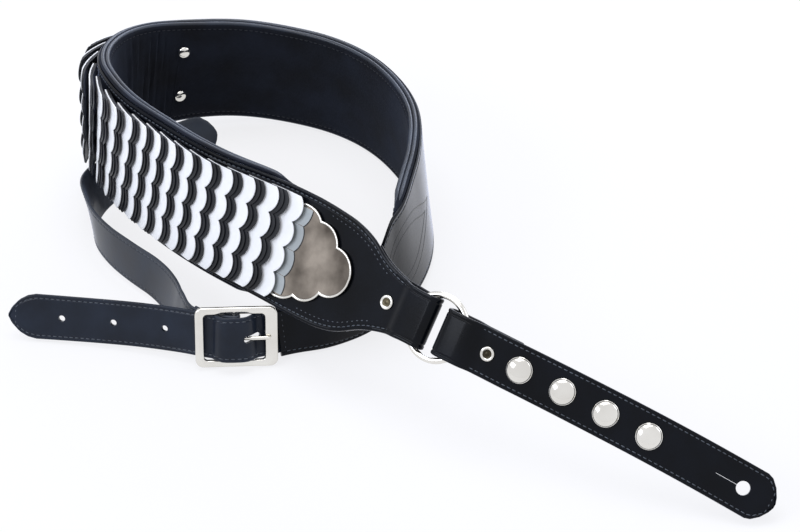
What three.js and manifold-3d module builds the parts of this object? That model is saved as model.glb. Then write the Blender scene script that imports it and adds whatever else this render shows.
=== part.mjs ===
// A padded leather shoulder strap for an instrument, lying on its edge in a loop.
// Every piece is drawn on the flat strap and then laid along a route in space.
// Flat places are s, v and n: along the strap, across it and out of its face.

import * as THREE from "three";
import { mergeVertices } from "three/addons/utils/BufferGeometryUtils.js";
import Module from "manifold-3d";

const wasm = await Module();
wasm.setup();

// Driving sizes in millimetres

const fit = {
  gap: 0.3,
  bend: 0.3,
  reach: 15,
};

// How many facets and steps the curves get

const counts = {
  fold: 3,
  arc: 8,
  bodyStep: 0.11,
  tailStep: 0.35,
  billetStep: 0.14,
  lobe: 7,
  scallop: 4,
  wire: 10,
  ring: 44,
  round: 16,
  dome: 3,
  bar: 12,
  corner: 3,
  rod: 8,
  hook: 7,
  studs: 4,
};

const body = {
  width: 80,
  length: 812,
  leather: 2.4,
  leatherInset: 2,
  linerSkin: 1.2,
  linerLip: 6,
  foam: 3.8,
  paddingStart: 126,
  paddingEnd: 745,
  paddingRamp: 24,
  neckWidth: 33.6,
  neckFlare: 105,
  foldBack: 55,
  farTaperStart: 748,
  farTaperLength: 50,
};

const ring = {
  inside: 36,
  wire: 4,
  toFold: 3.2,
  pinch: 9,
  foldTaper: 9,
};

const tail = {
  width: 30,
  toHole: 202.8,
  leather: 2.6,
  foldBack: 50.5,
  tipLength: 12,
  holeToTip: 21,
  hole: 8.5,
  slit: 18,
  slitWidth: 0.8,
  rivetPlace: 34,
  studPlace: 55.4,
  studPitch: 28.4,
};

const stud = {
  width: 16,
  height: 4,
  skirt: 0.8,
  shank: 3,
};

const rivet = {
  width: 9,
  rim: 1.1,
  height: 0.8,
  dish: 0.4,
  shank: 3.6,
  bodyPlace: 34,
  farPlace: 788,
};

const scale = {
  rows: 16,
  perRow: 4,
  width: 17,
  bulge: 4.4,
  pitch: 15.7,
  skin: 0.8,
  step: 3.1,
  overlap: 6,
  firstPlace: 121.5,
  flare: 7,
};

const plate = {
  thickness: 1.3,
  rim: 1.7,
  rimHeight: 0.6,
  endLobe: 16,
  innerLobe: 13,
  outerLobe: 15.8,
  innerReach: 37,
  outerReach: 59,
  innerAside: 13.3,
  outerAside: 16.3,
  length: 72,
  frontPlace: 59,
  rearPlace: 460,
  screwReach: 51,
  screwAside: 18,
  screwShank: 4,
  screwHead: 9,
  screwHeight: 2.2,
};

const billet = {
  width: 30,
  leather: 2.4,
  start: 766,
  end: 1011,
  rampStart: 800,
  rampEnd: 838,
  tipLength: 18,
  hole: 5,
  firstHole: 908,
  holePitch: 34,
  holes: 3,
  prongHole: 10.9,
  prongSlot: 8,
  overFlat: 6,
  overEnd: 16,
};

const buckle = {
  place: 861,
  height: 40,
  rail: 4.5,
  bodyBar: 8,
  tipBar: 5.5,
  window: 38.5,
  thickness: 3,
  corner: 5,
  innerCorner: 2.5,
  bevel: 0.7,
  centreBar: 3.2,
  prong: 2.6,
  prongReach: 23,
  slot: 7,
  bendStretch: 16,
};

const tab = {
  width: 30,
  leather: 2,
  length: 338,
  foldBack: 34,
  tipLength: 12,
  holeToTip: 16,
  hole: 7,
  slit: 12,
};

// Turns of each stretch in degrees; lean in degrees and lift in widths, at shares of a route

const mainRoute = {
  start: [7.2, -156.1],
  heading: 139.3,
  stretch: 52,
  turns: [
    -1.3, 0.2, -0.7, -6.8, -10.3, -17.3, -40, -37.9, -29.7, -24.2,
    -26.9, -19.6, -14.8, -24.8, -37.4, 6.7, -55.2, 9.7, 4.8, 1.4,
  ],
  leanShares: [
    [0, 37.5], [0.058, 33.9], [0.115, 31.7], [0.173, 20.9], [0.231, 15.7],
    [0.288, 6], [0.346, -0.8], [0.413, 2.7], [0.5, 2.4], [0.596, 3],
    [0.673, 8.5], [0.72, 2], [0.75, -6], [0.775, 8], [0.795, 20],
    [0.81, 20], [0.825, 18], [0.86, 18], [0.92, 19], [0.97, 23], [1, 24],
  ],
  liftShares: [
    [0, 0.37], [0.058, 0.37], [0.115, 0.376], [0.173, 0.356], [0.231, 0.322],
    [0.288, 0.31], [0.336, 0.236], [0.385, 0.114], [0.43, 0.05], [0.485, 0],
    [0.765, 0], [0.79, 0.014], [0.81, 0.042], [0.828, 0.056], [0.85, 0.053],
    [0.88, 0.03], [0.92, 0.008], [0.95, 0], [1, 0],
  ],
};

const tailRoute = {
  stretch: 26,
  turns: [2.2, 6.8, 0.8, 0.7, 0.7, 0.7, 0.7, 0.7, 0.7],
  leanShares: [[0, 0], [0.08, 0], [0.2, -3], [0.55, 1.5], [0.9, 5.5], [1, 6.5]],
  dropShares: [[0, 0], [0.08, 0], [0.2, 7.2], [0.55, 12], [0.9, 17.2], [1, 18]],
};

const tabRoute = {
  stretch: 26,
  turns: [-12, -46, 13.9, 18, -5.7, -12.8, -28, -28, -12, -10, -8, -2, 0],
  fadeShares: [[0, 1], [0.07, 1], [0.18, 0], [1, 0]],
  leanShares: [
    [0, 0], [0.07, 0], [0.18, 12], [0.3, 10], [0.4, 6], [0.53, -8], [0.62, -40], [0.68, -60],
    [0.82, -60], [0.9, -35], [1, -20],
  ],
};

const swing = {
  bodyPlay: 8,
  tailPlay: 8,
  ringLean: 4,
  tailLean: 4,
  tabLean: 23,
};

// Shares of a width: from a pointed end to the full strap, and from the neck to the full body

const bluntTipShares = [[0, 0.12], [0.1, 0.34], [0.35, 0.66], [0.7, 0.92], [1, 1]];
const longTipShares = [[0, 0.08], [0.12, 0.36], [0.4, 0.72], [0.7, 0.92], [1, 1]];
const neckFlareShares = [
  [0, 0], [0.14, 0], [0.28, 0.08], [0.43, 0.32], [0.57, 0.7],
  [0.71, 0.9], [0.86, 0.97], [1, 1],
];
const flareShares = [[0, 0], [0.5, 0], [0.75, 0.35], [0.85, 0.75], [0.93, 1], [1, 1]];
const paddingPinchShare = 0.45;
const plateTipDegrees = 8;
const hookDegrees = -160;

// Sizes worked out from the driving sizes

const wireRadius = ring.wire / 2;
const ringRadius = (ring.inside + ring.wire) / 2;
const bodyHalf = body.width / 2;
const neckHalf = body.neckWidth / 2;
const billetHalf = billet.width / 2;
const tailHalf = tail.width / 2;
const tabHalf = tab.width / 2;
const leatherBack = 2 * body.linerSkin + body.foam + 3 * fit.gap;
const leatherFront = leatherBack + body.leather;
const leatherMiddle = leatherBack + body.leather / 2;
const linerFront = leatherBack - fit.gap;
const tailEnd = tail.toHole + tail.holeToTip;
const routeLength = mainRoute.stretch * mainRoute.turns.length;
const tailLength = tailRoute.stretch * tailRoute.turns.length;
const farTaperEnd = body.farTaperStart + body.farTaperLength;
const ringReach = ringRadius - ring.toFold - ring.pinch;
const foldLoopEnd = ringRadius - ring.toFold + wireRadius + fit.gap;
const foldMeet = foldLoopEnd + ring.foldTaper;
const deg = THREE.MathUtils.radToDeg;

// Reads a table of pairs at a place, as one smooth curve.
function readTable(table, place) {
  const last = table.length - 1;
  if (place <= table[0][0]) return table[0][1];
  if (place >= table[last][0]) return table[last][1];
  const i = table.findIndex((pair) => pair[0] > place) - 1;
  const slopeAt = (k) => {
    const before = table[Math.max(k - 1, 0)];
    const after = table[Math.min(k + 1, last)];
    return (after[1] - before[1]) / (after[0] - before[0]);
  };
  const [x0, y0] = table[i];
  const [x1, y1] = table[i + 1];
  const reach = x1 - x0;
  const u = (place - x0) / reach;
  const stay = 1 + 2 * u;
  const left = y0 * stay * (1 - u) ** 2 + slopeAt(i) * reach * u * (1 - u) ** 2;
  const right = y1 * (3 - 2 * u) * u ** 2 - slopeAt(i + 1) * reach * (1 - u) * u ** 2;
  return left + right;
}

// Reads a table of pairs at a place, with straight lines between the pairs.
function readStraight(table, place) {
  const last = table.length - 1;
  if (place <= table[0][0]) return table[0][1];
  if (place >= table[last][0]) return table[last][1];
  const i = table.findIndex((pair) => pair[0] > place) - 1;
  const [x0, y0] = table[i];
  const [x1, y1] = table[i + 1];
  return THREE.MathUtils.lerp(y0, y1, (place - x0) / (x1 - x0));
}

const rad = THREE.MathUtils.degToRad;

// A route through space. Its base line is edge(s) below the middle of the strap.
class Route {
  constructor({ start, heading, stretch, turns, lean, slope, edge, side = 1 }) {
    Object.assign(this, { heading, stretch, turns, lean, slope, edge, side });
    this.length = stretch * turns.length;
    this.step = stretch / 26;
    this.points = [new THREE.Vector3(...start)];
    const steps = Math.round(this.length / this.step);
    for (let i = 0; i < steps; i += 1) {
      const along = this.axes((i + 0.5) * this.step).t;
      this.points.push(this.points[i].clone().addScaledVector(along, this.step));
    }
  }

  headingAt(s) {
    const place = THREE.MathUtils.clamp(s / this.stretch, 0, this.turns.length);
    const whole = Math.min(Math.floor(place), this.turns.length - 1);
    const done = this.turns.slice(0, whole).reduce((sum, turn) => sum + turn, 0);
    return rad(this.heading + done + this.turns[whole] * (place - whole));
  }

  axes(s) {
    const heading = this.headingAt(s);
    const slope = this.slope(s);
    const lean = rad(this.lean(s));
    const t = new THREE.Vector3(
      Math.cos(heading) * Math.cos(slope),
      Math.sin(heading) * Math.cos(slope),
      Math.sin(slope),
    );
    const out = new THREE.Vector3(-Math.sin(heading), Math.cos(heading), 0);
    out.multiplyScalar(this.side);
    const up = new THREE.Vector3(
      -Math.cos(heading) * Math.sin(slope),
      -Math.sin(heading) * Math.sin(slope),
      Math.cos(slope),
    );
    const v = up.clone().multiplyScalar(Math.cos(lean));
    v.addScaledVector(out, -Math.sin(lean));
    const n = out.multiplyScalar(Math.cos(lean));
    n.addScaledVector(up, Math.sin(lean));
    return { t, v, n };
  }

  base(s) {
    const inside = THREE.MathUtils.clamp(s, 0, this.length);
    const place = inside / this.step;
    const i = Math.min(Math.floor(place), this.points.length - 2);
    const point = this.points[i].clone().lerp(this.points[i + 1], place - i);
    return point.addScaledVector(this.axes(inside).t, s - inside);
  }

  point(s, v, n) {
    const { v: across, n: out } = this.axes(s);
    const point = this.base(s).addScaledVector(across, v + this.edge(s));
    return point.addScaledVector(out, n);
  }

  // A matrix that lays x along the strap, y across it and z out of its face.
  frame(s, v, n) {
    const along = this.point(s + this.step, v, n).sub(this.point(s - this.step, v, n));
    const across = this.axes(s).v.multiplyScalar(this.side > 0 ? -1 : 1);
    const out = along.normalize().clone().cross(across).normalize();
    const matrix = new THREE.Matrix4().makeBasis(along, out.clone().cross(along), out);
    return matrix.setPosition(this.point(s, v, n));
  }
}

// The slope that follows a table of heights along a route.
function slopeOf(heights, length, unit) {
  return (s) => {
    const reach = length / 200;
    const high = readTable(heights, (s + reach) / length) * unit;
    const low = readTable(heights, (s - reach) / length) * unit;
    return Math.asin((high - low) / (2 * reach));
  };
}

// Half widths along the strap

function farShare(s) {
  return THREE.MathUtils.smoothstep(s, body.farTaperStart, farTaperEnd);
}

function leatherHalf(s) {
  const full = bodyHalf - body.leatherInset;
  const flare = readTable(neckFlareShares, s / body.neckFlare);
  const near = THREE.MathUtils.lerp(neckHalf, full, flare);
  return THREE.MathUtils.lerp(near, neckHalf, farShare(s));
}

function baseEdge(s) {
  return THREE.MathUtils.lerp(bodyHalf, billetHalf, farShare(s));
}

function tipHalf(shares, half, end, tip) {
  return (s) => half * readStraight(shares, (end - s) / tip);
}

// The route of the body and the billet

const main = new Route({
  start: [...mainRoute.start, mainRoute.liftShares[0][1] * body.width],
  heading: mainRoute.heading,
  stretch: mainRoute.stretch,
  turns: mainRoute.turns,
  lean: (s) => readTable(mainRoute.leanShares, s / routeLength),
  slope: slopeOf(mainRoute.liftShares, routeLength, body.width),
  edge: baseEdge,
});

// The heading, slope and lean of a way that starts along one axis and across another.
function anglesOf(along, across, side) {
  const aside = new THREE.Vector3(-along.y, along.x, 0).normalize().multiplyScalar(side);
  return {
    heading: deg(Math.atan2(along.y, along.x)),
    slope: Math.asin(along.z),
    lean: deg(Math.asin(-across.dot(aside))),
  };
}

// The ring hangs in the body's fold, and the tail's fold hangs on the ring.

const ringHigh = leatherMiddle - (body.leather + fit.gap) / 2;
const ringToAxis = ring.pinch + ring.toFold;
const bodyAxis = main.point(ring.pinch, 0, ringHigh);
const bodyAxes = main.axes(ring.pinch);
const ringAlong = bodyAxes.t.clone().multiplyScalar(-Math.cos(rad(swing.ringLean)));
ringAlong.addScaledVector(bodyAxes.n, -Math.sin(rad(swing.ringLean)));
const ringCentre = bodyAxis.clone().addScaledVector(ringAlong, ringToAxis);
const tailTurn = rad(swing.ringLean + swing.tailLean);
const tailAlong = bodyAxes.t.clone().multiplyScalar(-Math.cos(tailTurn));
tailAlong.addScaledVector(bodyAxes.n, -Math.sin(tailTurn));
const tailAxis = ringCentre.clone().addScaledVector(ringAlong, ringToAxis);
const tailFirst = anglesOf(tailAlong, bodyAxes.v, -1);
const tailWay = new Route({
  start: tailAxis.addScaledVector(tailAlong, -ring.pinch).toArray(),
  heading: tailFirst.heading,
  stretch: tailRoute.stretch,
  turns: tailRoute.turns,
  lean: (s) => tailFirst.lean + readTable(tailRoute.leanShares, s / tailLength),
  slope: (s) => tailFirst.slope - rad(readTable(tailRoute.dropShares, s / tailLength)),
  edge: () => 0,
  side: -1,
});

// The buckle strap leaves the middle bar of the buckle.

const barBend = mainRoute.stretch / rad(Math.abs(mainRoute.turns[buckle.bendStretch]));
const windowHalf = buckle.window / 2;
const frameBack = fit.gap - windowHalf ** 2 / (2 * barBend);
const frameFront = frameBack + buckle.thickness;
const barHigh = frameBack + buckle.thickness / 2;
const barRadius = buckle.centreBar / 2;
const hookRadius = barRadius + fit.gap + buckle.prong / 2;
const tabLoop = barRadius + fit.gap + tab.leather / 2;
const barAxes = main.axes(buckle.place);
const tabAlong = barAxes.t.clone().multiplyScalar(Math.cos(rad(swing.tabLean)));
tabAlong.addScaledVector(barAxes.n, -Math.sin(rad(swing.tabLean)));
const tabFirst = anglesOf(tabAlong, barAxes.v, 1);
const tabFade = (s) => readStraight(tabRoute.fadeShares, s / tab.length);
const tabWay = new Route({
  start: [0, 0, 0],
  heading: tabFirst.heading,
  stretch: tabRoute.stretch,
  turns: tabRoute.turns,
  lean: (s) => tabFirst.lean * tabFade(s) + readTable(tabRoute.leanShares, s / tab.length),
  slope: (s) => tabFirst.slope * tabFade(s),
  edge: () => tabHalf,
});
const tabBarHigh = -tabLoop - tab.leather / 2;
const tabShift = main.point(buckle.place, 0, barHigh).sub(tabWay.point(0, 0, tabBarHigh));
tabWay.points.forEach((point) => point.add(tabShift));

// Closed bodies

function closedBody(points, faces) {
  let volume = 0;
  faces.forEach(([a, b, c]) => {
    volume += points[a].dot(points[b].clone().cross(points[c]));
  });
  const made = new THREE.BufferGeometry();
  const flat = points.flatMap((point) => point.toArray());
  made.setAttribute("position", new THREE.Float32BufferAttribute(flat, 3));
  made.setIndex(faces.flatMap(([a, b, c]) => (volume < 0 ? [a, c, b] : [a, b, c])));
  return made;
}

// Joins rings of points into one skin and closes both ends with the same lid.
// Each fold line starts at the higher point of a ring, so that layers fold alike.
function skin(rings, lid) {
  const count = rings[0].length;
  const faces = [];
  for (let i = 0; i + 1 < rings.length; i += 1) {
    for (let j = 0; j < count; j += 1) {
      const k = (j + 1) % count;
      const a = i * count + j;
      const b = i * count + k;
      if (rings[i][j].z > rings[i][k].z) {
        faces.push([a, b, b + count], [a, b + count, a + count]);
      } else {
        faces.push([a, b, a + count], [b, b + count, a + count]);
      }
    }
  }
  const last = (rings.length - 1) * count;
  lid.forEach(([a, b, c]) => {
    faces.push([a, c, b], [a + last, b + last, c + last]);
  });
  return closedBody(rings.flat(), faces);
}

// Joins rings of points into one skin that closes on itself.
function hoop(rings) {
  const count = rings[0].length;
  const faces = [];
  rings.forEach((points, i) => {
    const here = i * count;
    const next = ((i + 1) % rings.length) * count;
    points.forEach((point, j) => {
      const k = (j + 1) % count;
      faces.push([here + j, here + k, next + k], [here + j, next + k, next + j]);
    });
  });
  return closedBody(rings.flat(), faces);
}

// The faces that close a flat outline whose points turn left all the way round.
function lidOf(outline) {
  const flat = outline.map(([x, y]) => new THREE.Vector2(x, y));
  return THREE.ShapeUtils.triangulateShape(flat, []);
}

// Numbers from one place to another, about one step apart.
function stations(from, to, step) {
  const count = Math.max(1, Math.round(Math.abs(to - from) / step));
  return Array.from({ length: count + 1 }, (_, i) => from + ((to - from) * i) / count);
}

// A strip of leather whose middle follows a path of s and n.
function ribbon(way, path, thickness, halfAt) {
  const rings = path.map(([s, n], i) => {
    const before = path[Math.max(i - 1, 0)];
    const after = path[Math.min(i + 1, path.length - 1)];
    const along = new THREE.Vector2(after[0] - before[0], after[1] - before[1]);
    along.setLength(thickness / 2);
    return [[-1, -1], [1, -1], [1, 1], [-1, 1]].map(([across, up]) =>
      way.point(s - along.y * up, halfAt(s) * across, n + along.x * up),
    );
  });
  return skin(rings, [[0, 1, 2], [0, 2, 3]]);
}

// The path of a fold round a bar, from the end of its back layer to its front layer.
function foldPath({ bar, loop, back, front, backEnd, loopEnd, meet }) {
  const [s, n] = bar;
  const path = stations(backEnd, meet, (backEnd - meet) / counts.fold).map((at) => [at, back]);
  path.push([loopEnd, n - loop]);
  for (let i = 0; i <= counts.arc; i += 1) {
    const angle = -Math.PI / 2 - (Math.PI * i) / counts.arc;
    path.push([s + loop * Math.cos(angle), n + loop * Math.sin(angle)]);
  }
  path.push([loopEnd, n + loop], [meet, front]);
  return path;
}

// Cutting and joining

function toManifold(shape) {
  const plain = new THREE.BufferGeometry();
  plain.setAttribute("position", shape.getAttribute("position"));
  plain.setIndex(shape.getIndex());
  const merged = mergeVertices(plain, fit.gap / 300);
  return new wasm.Manifold(
    new wasm.Mesh({
      numProp: 3,
      vertProperties: new Float32Array(merged.attributes.position.array),
      triVerts: new Uint32Array(merged.index.array),
    }),
  );
}

function fromManifold(solid) {
  const mesh = solid.getMesh();
  const made = new THREE.BufferGeometry();
  made.setAttribute("position", new THREE.Float32BufferAttribute(mesh.vertProperties, 3));
  made.setIndex(Array.from(mesh.triVerts));
  return made;
}

function cut(shape, tools) {
  const left = tools.reduce((kept, tool) => kept.subtract(toManifold(tool)), toManifold(shape));
  return fromManifold(left);
}

function join(shapes) {
  return fromManifold(shapes.map(toManifold).reduce((all, one) => all.add(one)));
}

// A turned shape standing on the strap. Its profile is a table of radius and height.
function turned(way, s, v, profile) {
  const points = profile.map(([radius, high]) => new THREE.Vector2(radius, high));
  const shape = new THREE.LatheGeometry(points, counts.round);
  shape.rotateX(Math.PI / 2);
  return shape.applyMatrix4(way.frame(s, v, 0));
}

// A straight cutter through the strap: a round, or a slot between two places.
function cutter(way, s, v, width, low, high, reach = 0) {
  const loop = [];
  const half = width / 2;
  for (let i = 0; i < counts.round; i += 1) {
    const angle = (2 * Math.PI * (i + 0.5)) / counts.round;
    const far = Math.cos(angle) > 0 ? reach : 0;
    loop.push([half * Math.cos(angle) + far, half * Math.sin(angle)]);
  }
  const frame = way.frame(s, v, 0);
  const rings = [low, high].map((n) =>
    loop.map(([x, y]) => new THREE.Vector3(x, y, n).applyMatrix4(frame)),
  );
  return skin(rings, lidOf(loop));
}

// The body: face leather, foam and padded lining

const screwPlaces = [];
[
  ["front", plate.frontPlace, 1],
  ["rear", plate.rearPlace, -1],
].forEach(([name, place, way]) => {
  [["upper", 1], ["lower", -1]].forEach(([row, aside]) => {
    const s = place + way * plate.screwReach;
    screwPlaces.push({ name: `${name}_${row}`, s, v: aside * plate.screwAside });
  });
});

const bore = (width) => width + 2 * fit.gap;
const through = (place, low, high) =>
  cutter(main, place.s, place.v, bore(plate.screwShank), low, high);

function faceLeather() {
  const loop = wireRadius + ringReach * Math.sin(rad(swing.bodyPlay)) + fit.gap
    + body.leather / 2;
  const path = foldPath({
    bar: [loop + body.leather / 2, ringHigh],
    loop,
    back: ringHigh - (body.leather + fit.gap) / 2,
    front: leatherMiddle,
    backEnd: body.foldBack,
    loopEnd: foldLoopEnd,
    meet: foldMeet,
  });
  const full = stations(foldMeet, body.farTaperStart, counts.bodyStep * body.width).slice(1);
  const end = stations(body.farTaperStart, body.length, counts.billetStep * billet.width);
  [...full, ...end.slice(1)].forEach((s) => path.push([s, leatherMiddle]));
  const shape = ribbon(main, path, body.leather, leatherHalf);
  const rivets = [rivet.bodyPlace, rivet.farPlace].map((s) =>
    cutter(main, s, 0, bore(rivet.shank), ringHigh - fit.reach, leatherFront + fit.reach),
  );
  const screws = screwPlaces.map((place) => through(place, -fit.reach, leatherFront + fit.reach));
  return cut(shape, [...rivets, ...screws]);
}

// The share of the padding's height that is left near its pinched ends.
function pinch(s) {
  const near = THREE.MathUtils.smoothstep(
    s,
    body.paddingStart,
    body.paddingStart + body.paddingRamp,
  );
  const far = THREE.MathUtils.smoothstep(
    body.paddingEnd - s,
    0,
    body.paddingRamp,
  );
  return THREE.MathUtils.lerp(paddingPinchShare, 1, Math.min(near, far));
}

function padded(section, inset) {
  const places = stations(body.paddingStart, body.paddingEnd, counts.bodyStep * body.width);
  places[0] += inset;
  places[places.length - 1] -= inset;
  const rings = places.map((s) =>
    section.map(([v, n]) => main.point(s, v, linerFront + (n - linerFront) * pinch(s))),
  );
  return skin(rings, lidOf(section));
}

function paddedLining() {
  const inner = bodyHalf - body.linerSkin;
  const lip = bodyHalf - body.linerLip - body.leatherInset;
  const lipBack = linerFront - body.linerSkin;
  const section = [
    [-bodyHalf, 0], [bodyHalf, 0], [bodyHalf, linerFront], [lip, linerFront],
    [lip, lipBack], [inner, lipBack], [inner, body.linerSkin], [-inner, body.linerSkin],
    [-inner, lipBack], [-lip, lipBack], [-lip, linerFront], [-bodyHalf, linerFront],
  ];
  const shape = padded(section, 0);
  return cut(shape, rearScrews().map((place) => through(place, -fit.reach, linerFront)));
}

function rearScrews() {
  return screwPlaces.filter((place) => place.s > body.paddingStart);
}

function foamPadding() {
  const half = bodyHalf - body.linerSkin - fit.gap;
  const back = body.linerSkin + fit.gap;
  const front = back + body.foam;
  const section = [[-half, back], [half, back], [half, front], [-half, front]];
  const shape = padded(section, body.linerSkin + fit.gap);
  return cut(shape, rearScrews().map((place) => through(place, -fit.reach, leatherBack)));
}

// The cloud outline of a plate as reach and half width, drawn inside by an inset
function cloudOutline(inset) {
  const lobes = [
    [plate.endLobe, 0, plate.endLobe - inset],
    [plate.innerReach, plate.innerAside, plate.innerLobe - inset],
    [plate.outerReach, plate.outerAside, plate.outerLobe - inset],
  ];
  const meets = lobes.slice(1).map((lobe, i) => crossing(lobes[i], lobe));
  const end = plate.length - inset;
  const flat = Math.acos((end - plate.outerReach) / (plate.outerLobe - inset));
  const points = [];
  lobes.forEach(([x, y, radius], i) => {
    const from = i ? angleTo([x, y], meets[i - 1]) : Math.PI - rad(plateTipDegrees);
    const to = i < meets.length ? angleTo([x, y], meets[i]) : flat;
    for (let k = i ? 1 : 0; k <= counts.lobe; k += 1) {
      const angle = THREE.MathUtils.lerp(from, to, k / counts.lobe);
      points.push([x + radius * Math.cos(angle), y + radius * Math.sin(angle)]);
    }
  });
  return points;
}

function angleTo([x, y], [px, py]) {
  const angle = Math.atan2(py - y, px - x);
  return angle < 0 ? angle + 2 * Math.PI : angle;
}

// The outer place where two circles meet
function crossing([x0, y0, r0], [x1, y1, r1]) {
  const reach = Math.hypot(x1 - x0, y1 - y0);
  const along = (reach ** 2 + r0 ** 2 - r1 ** 2) / (2 * reach);
  const aside = Math.sqrt(r0 ** 2 - along ** 2);
  const [dx, dy] = [(x1 - x0) / reach, (y1 - y0) / reach];
  return [x0 + dx * along - dy * aside, y0 + dy * along + dx * aside];
}

// A plate on the face, with a raised rim round a lower field
function facePlate(place, way) {
  const low = leatherFront + fit.gap + fit.bend;
  const high = low + plate.thickness;
  const levels = [
    [0, low], [0, high + plate.rimHeight - fit.gap], [fit.gap, high + plate.rimHeight],
    [plate.rim, high + plate.rimHeight], [plate.rim + fit.gap, high],
  ];
  const rings = levels.map(([inset, n]) => {
    const side = cloudOutline(inset);
    const other = side.map(([reach, half]) => [reach, -half]).reverse();
    return [...side, ...other].map(([reach, v]) => main.point(place + way * reach, v, n));
  });
  const count = rings[0].length;
  const lid = [];
  for (let i = 0; i + 1 < count / 2; i += 1) {
    const [a, b, c, d] = [i, i + 1, count - 2 - i, count - 1 - i];
    if (way > 0) lid.push([a, b, c], [a, c, d]);
    else lid.push([a, b, d], [b, c, d]);
  }
  return skin(rings, lid);
}

// Scale rows: each row of scallops rests on the row before it

const scaleHalf = (scale.perRow * scale.width) / 2;
const stackHigh = 3 * scale.skin + 2 * fit.gap + fit.bend;
const arcHalf = scale.width / 2;
const arcRadius = (arcHalf ** 2 + scale.bulge ** 2) / (2 * scale.bulge);

// How far a scallop's free edge runs out past its cusps
function scallop(v) {
  const fromCusp = (((v + scaleHalf) % scale.width) + scale.width) % scale.width;
  const aside = fromCusp - arcHalf;
  const reach = Math.sqrt(arcRadius ** 2 - aside ** 2) - (arcRadius - scale.bulge);
  return Math.max(0, reach);
}

function scaleRow(row, profile) {
  const front = scale.firstPlace + row * scale.pitch;
  const back = front + scale.pitch + scale.overlap;
  const rise = stackHigh / scale.pitch + rowFlare(row) / scale.pitch;
  const rings = [];
  const steps = scale.perRow * counts.scallop;
  for (let i = 0; i <= steps; i += 1) {
    const v = -scaleHalf + (i * 2 * scaleHalf) / steps;
    rings.push(
      profile.map(([along, ahead, layer]) => {
        const edge = front - scallop(v) - ahead;
        const s = THREE.MathUtils.lerp(edge, back, along);
        const high = leatherFront + fit.gap + rise * (back - s) + layer;
        return main.point(s, v, high);
      }),
    );
  }
  return skin(rings, lidOf(profile.map(([along, ahead, layer]) => [along - ahead, layer])));
}

// The last rows stand out where the strap bends hardest.
function rowFlare(row) {
  return scale.flare * readTable(flareShares, row / (scale.rows - 1));
}

const mid = 0.5;
const whiteLow = 2 * scale.skin + fit.gap;
const whiteProfile = [
  [0, 0, whiteLow], [mid, 0, whiteLow], [1, 0, whiteLow],
  [1, 0, whiteLow + scale.skin], [mid, 0, whiteLow + scale.skin], [0, 0, whiteLow + scale.skin],
];
const underProfile = [
  [0, 2 * scale.step, 0], [mid, 0, 0], [1, 0, 0],
  [1, 0, 2 * scale.skin], [mid, 0, 2 * scale.skin], [0, scale.step, 2 * scale.skin],
  [0, scale.step, scale.skin], [0, 2 * scale.step, scale.skin],
];

// The ring, and the rivets, studs and screws

function nearRing() {
  const shape = new THREE.TorusGeometry(ringRadius, wireRadius, counts.wire, counts.ring);
  const across = bodyAxes.v.clone();
  const out = ringAlong.clone().cross(across);
  const frame = new THREE.Matrix4().makeBasis(ringAlong, across, out);
  return shape.applyMatrix4(frame.setPosition(ringCentre));
}

function rivetShape(way, s, low, high) {
  const half = rivet.width / 2;
  const shank = rivet.shank / 2;
  const under = low - fit.gap - fit.bend / 2;
  const over = high + fit.gap + fit.bend / 2;
  const top = over + rivet.height;
  return turned(way, s, 0, [
    [0, under - rivet.height], [half - rivet.rim, under - rivet.height],
    [half, under - rivet.height / 2], [half, under], [shank, under], [shank, over],
    [half, over], [half, over + rivet.height / 2], [half - rivet.rim / 2, top],
    [half - rivet.rim, top], [half - rivet.rim, top - rivet.dish],
    [0, top - rivet.dish],
  ]);
}

function studShape(s, low, high) {
  const half = stud.width / 2;
  const shank = stud.shank / 2;
  const base = high + fit.gap + fit.bend / 2;
  const dome = stations(0, 1, 1 / counts.dome).slice(0, -1).map((share) => {
    const angle = (share * Math.PI) / 2;
    return [half * Math.cos(angle), base + stud.skirt + (stud.height - stud.skirt) * Math.sin(angle)];
  });
  return turned(tailWay, s, 0, [
    [0, low - fit.gap - stud.skirt], [half / 2, low - fit.gap - stud.skirt],
    [half / 2, low - fit.gap], [shank, low - fit.gap], [shank, base], [half, base],
    ...dome, [0, base + stud.height],
  ]);
}

// A screw whose domed head rests on the back and whose shank ends under a plate
function screwShape({ s, v }) {
  const back = s > body.paddingStart ? 0 : leatherBack;
  const half = plate.screwHead / 2;
  const shank = plate.screwShank / 2;
  const seat = back - fit.gap - fit.bend;
  const dome = stations(0, 1, 1 / counts.dome).slice(0, -1).map((share) => {
    const angle = (share * Math.PI) / 2;
    return [half * Math.cos(angle), seat - plate.screwHeight * Math.sin(angle)];
  });
  return turned(main, s, v, [
    [0, seat - plate.screwHeight], ...dome.reverse(),
    [shank, seat], [shank, leatherFront], [0, leatherFront],
  ]);
}

// The tail

const tailLayer = (tail.leather + fit.gap) / 2;
const tailHigh = tailLayer + tail.leather / 2;

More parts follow.
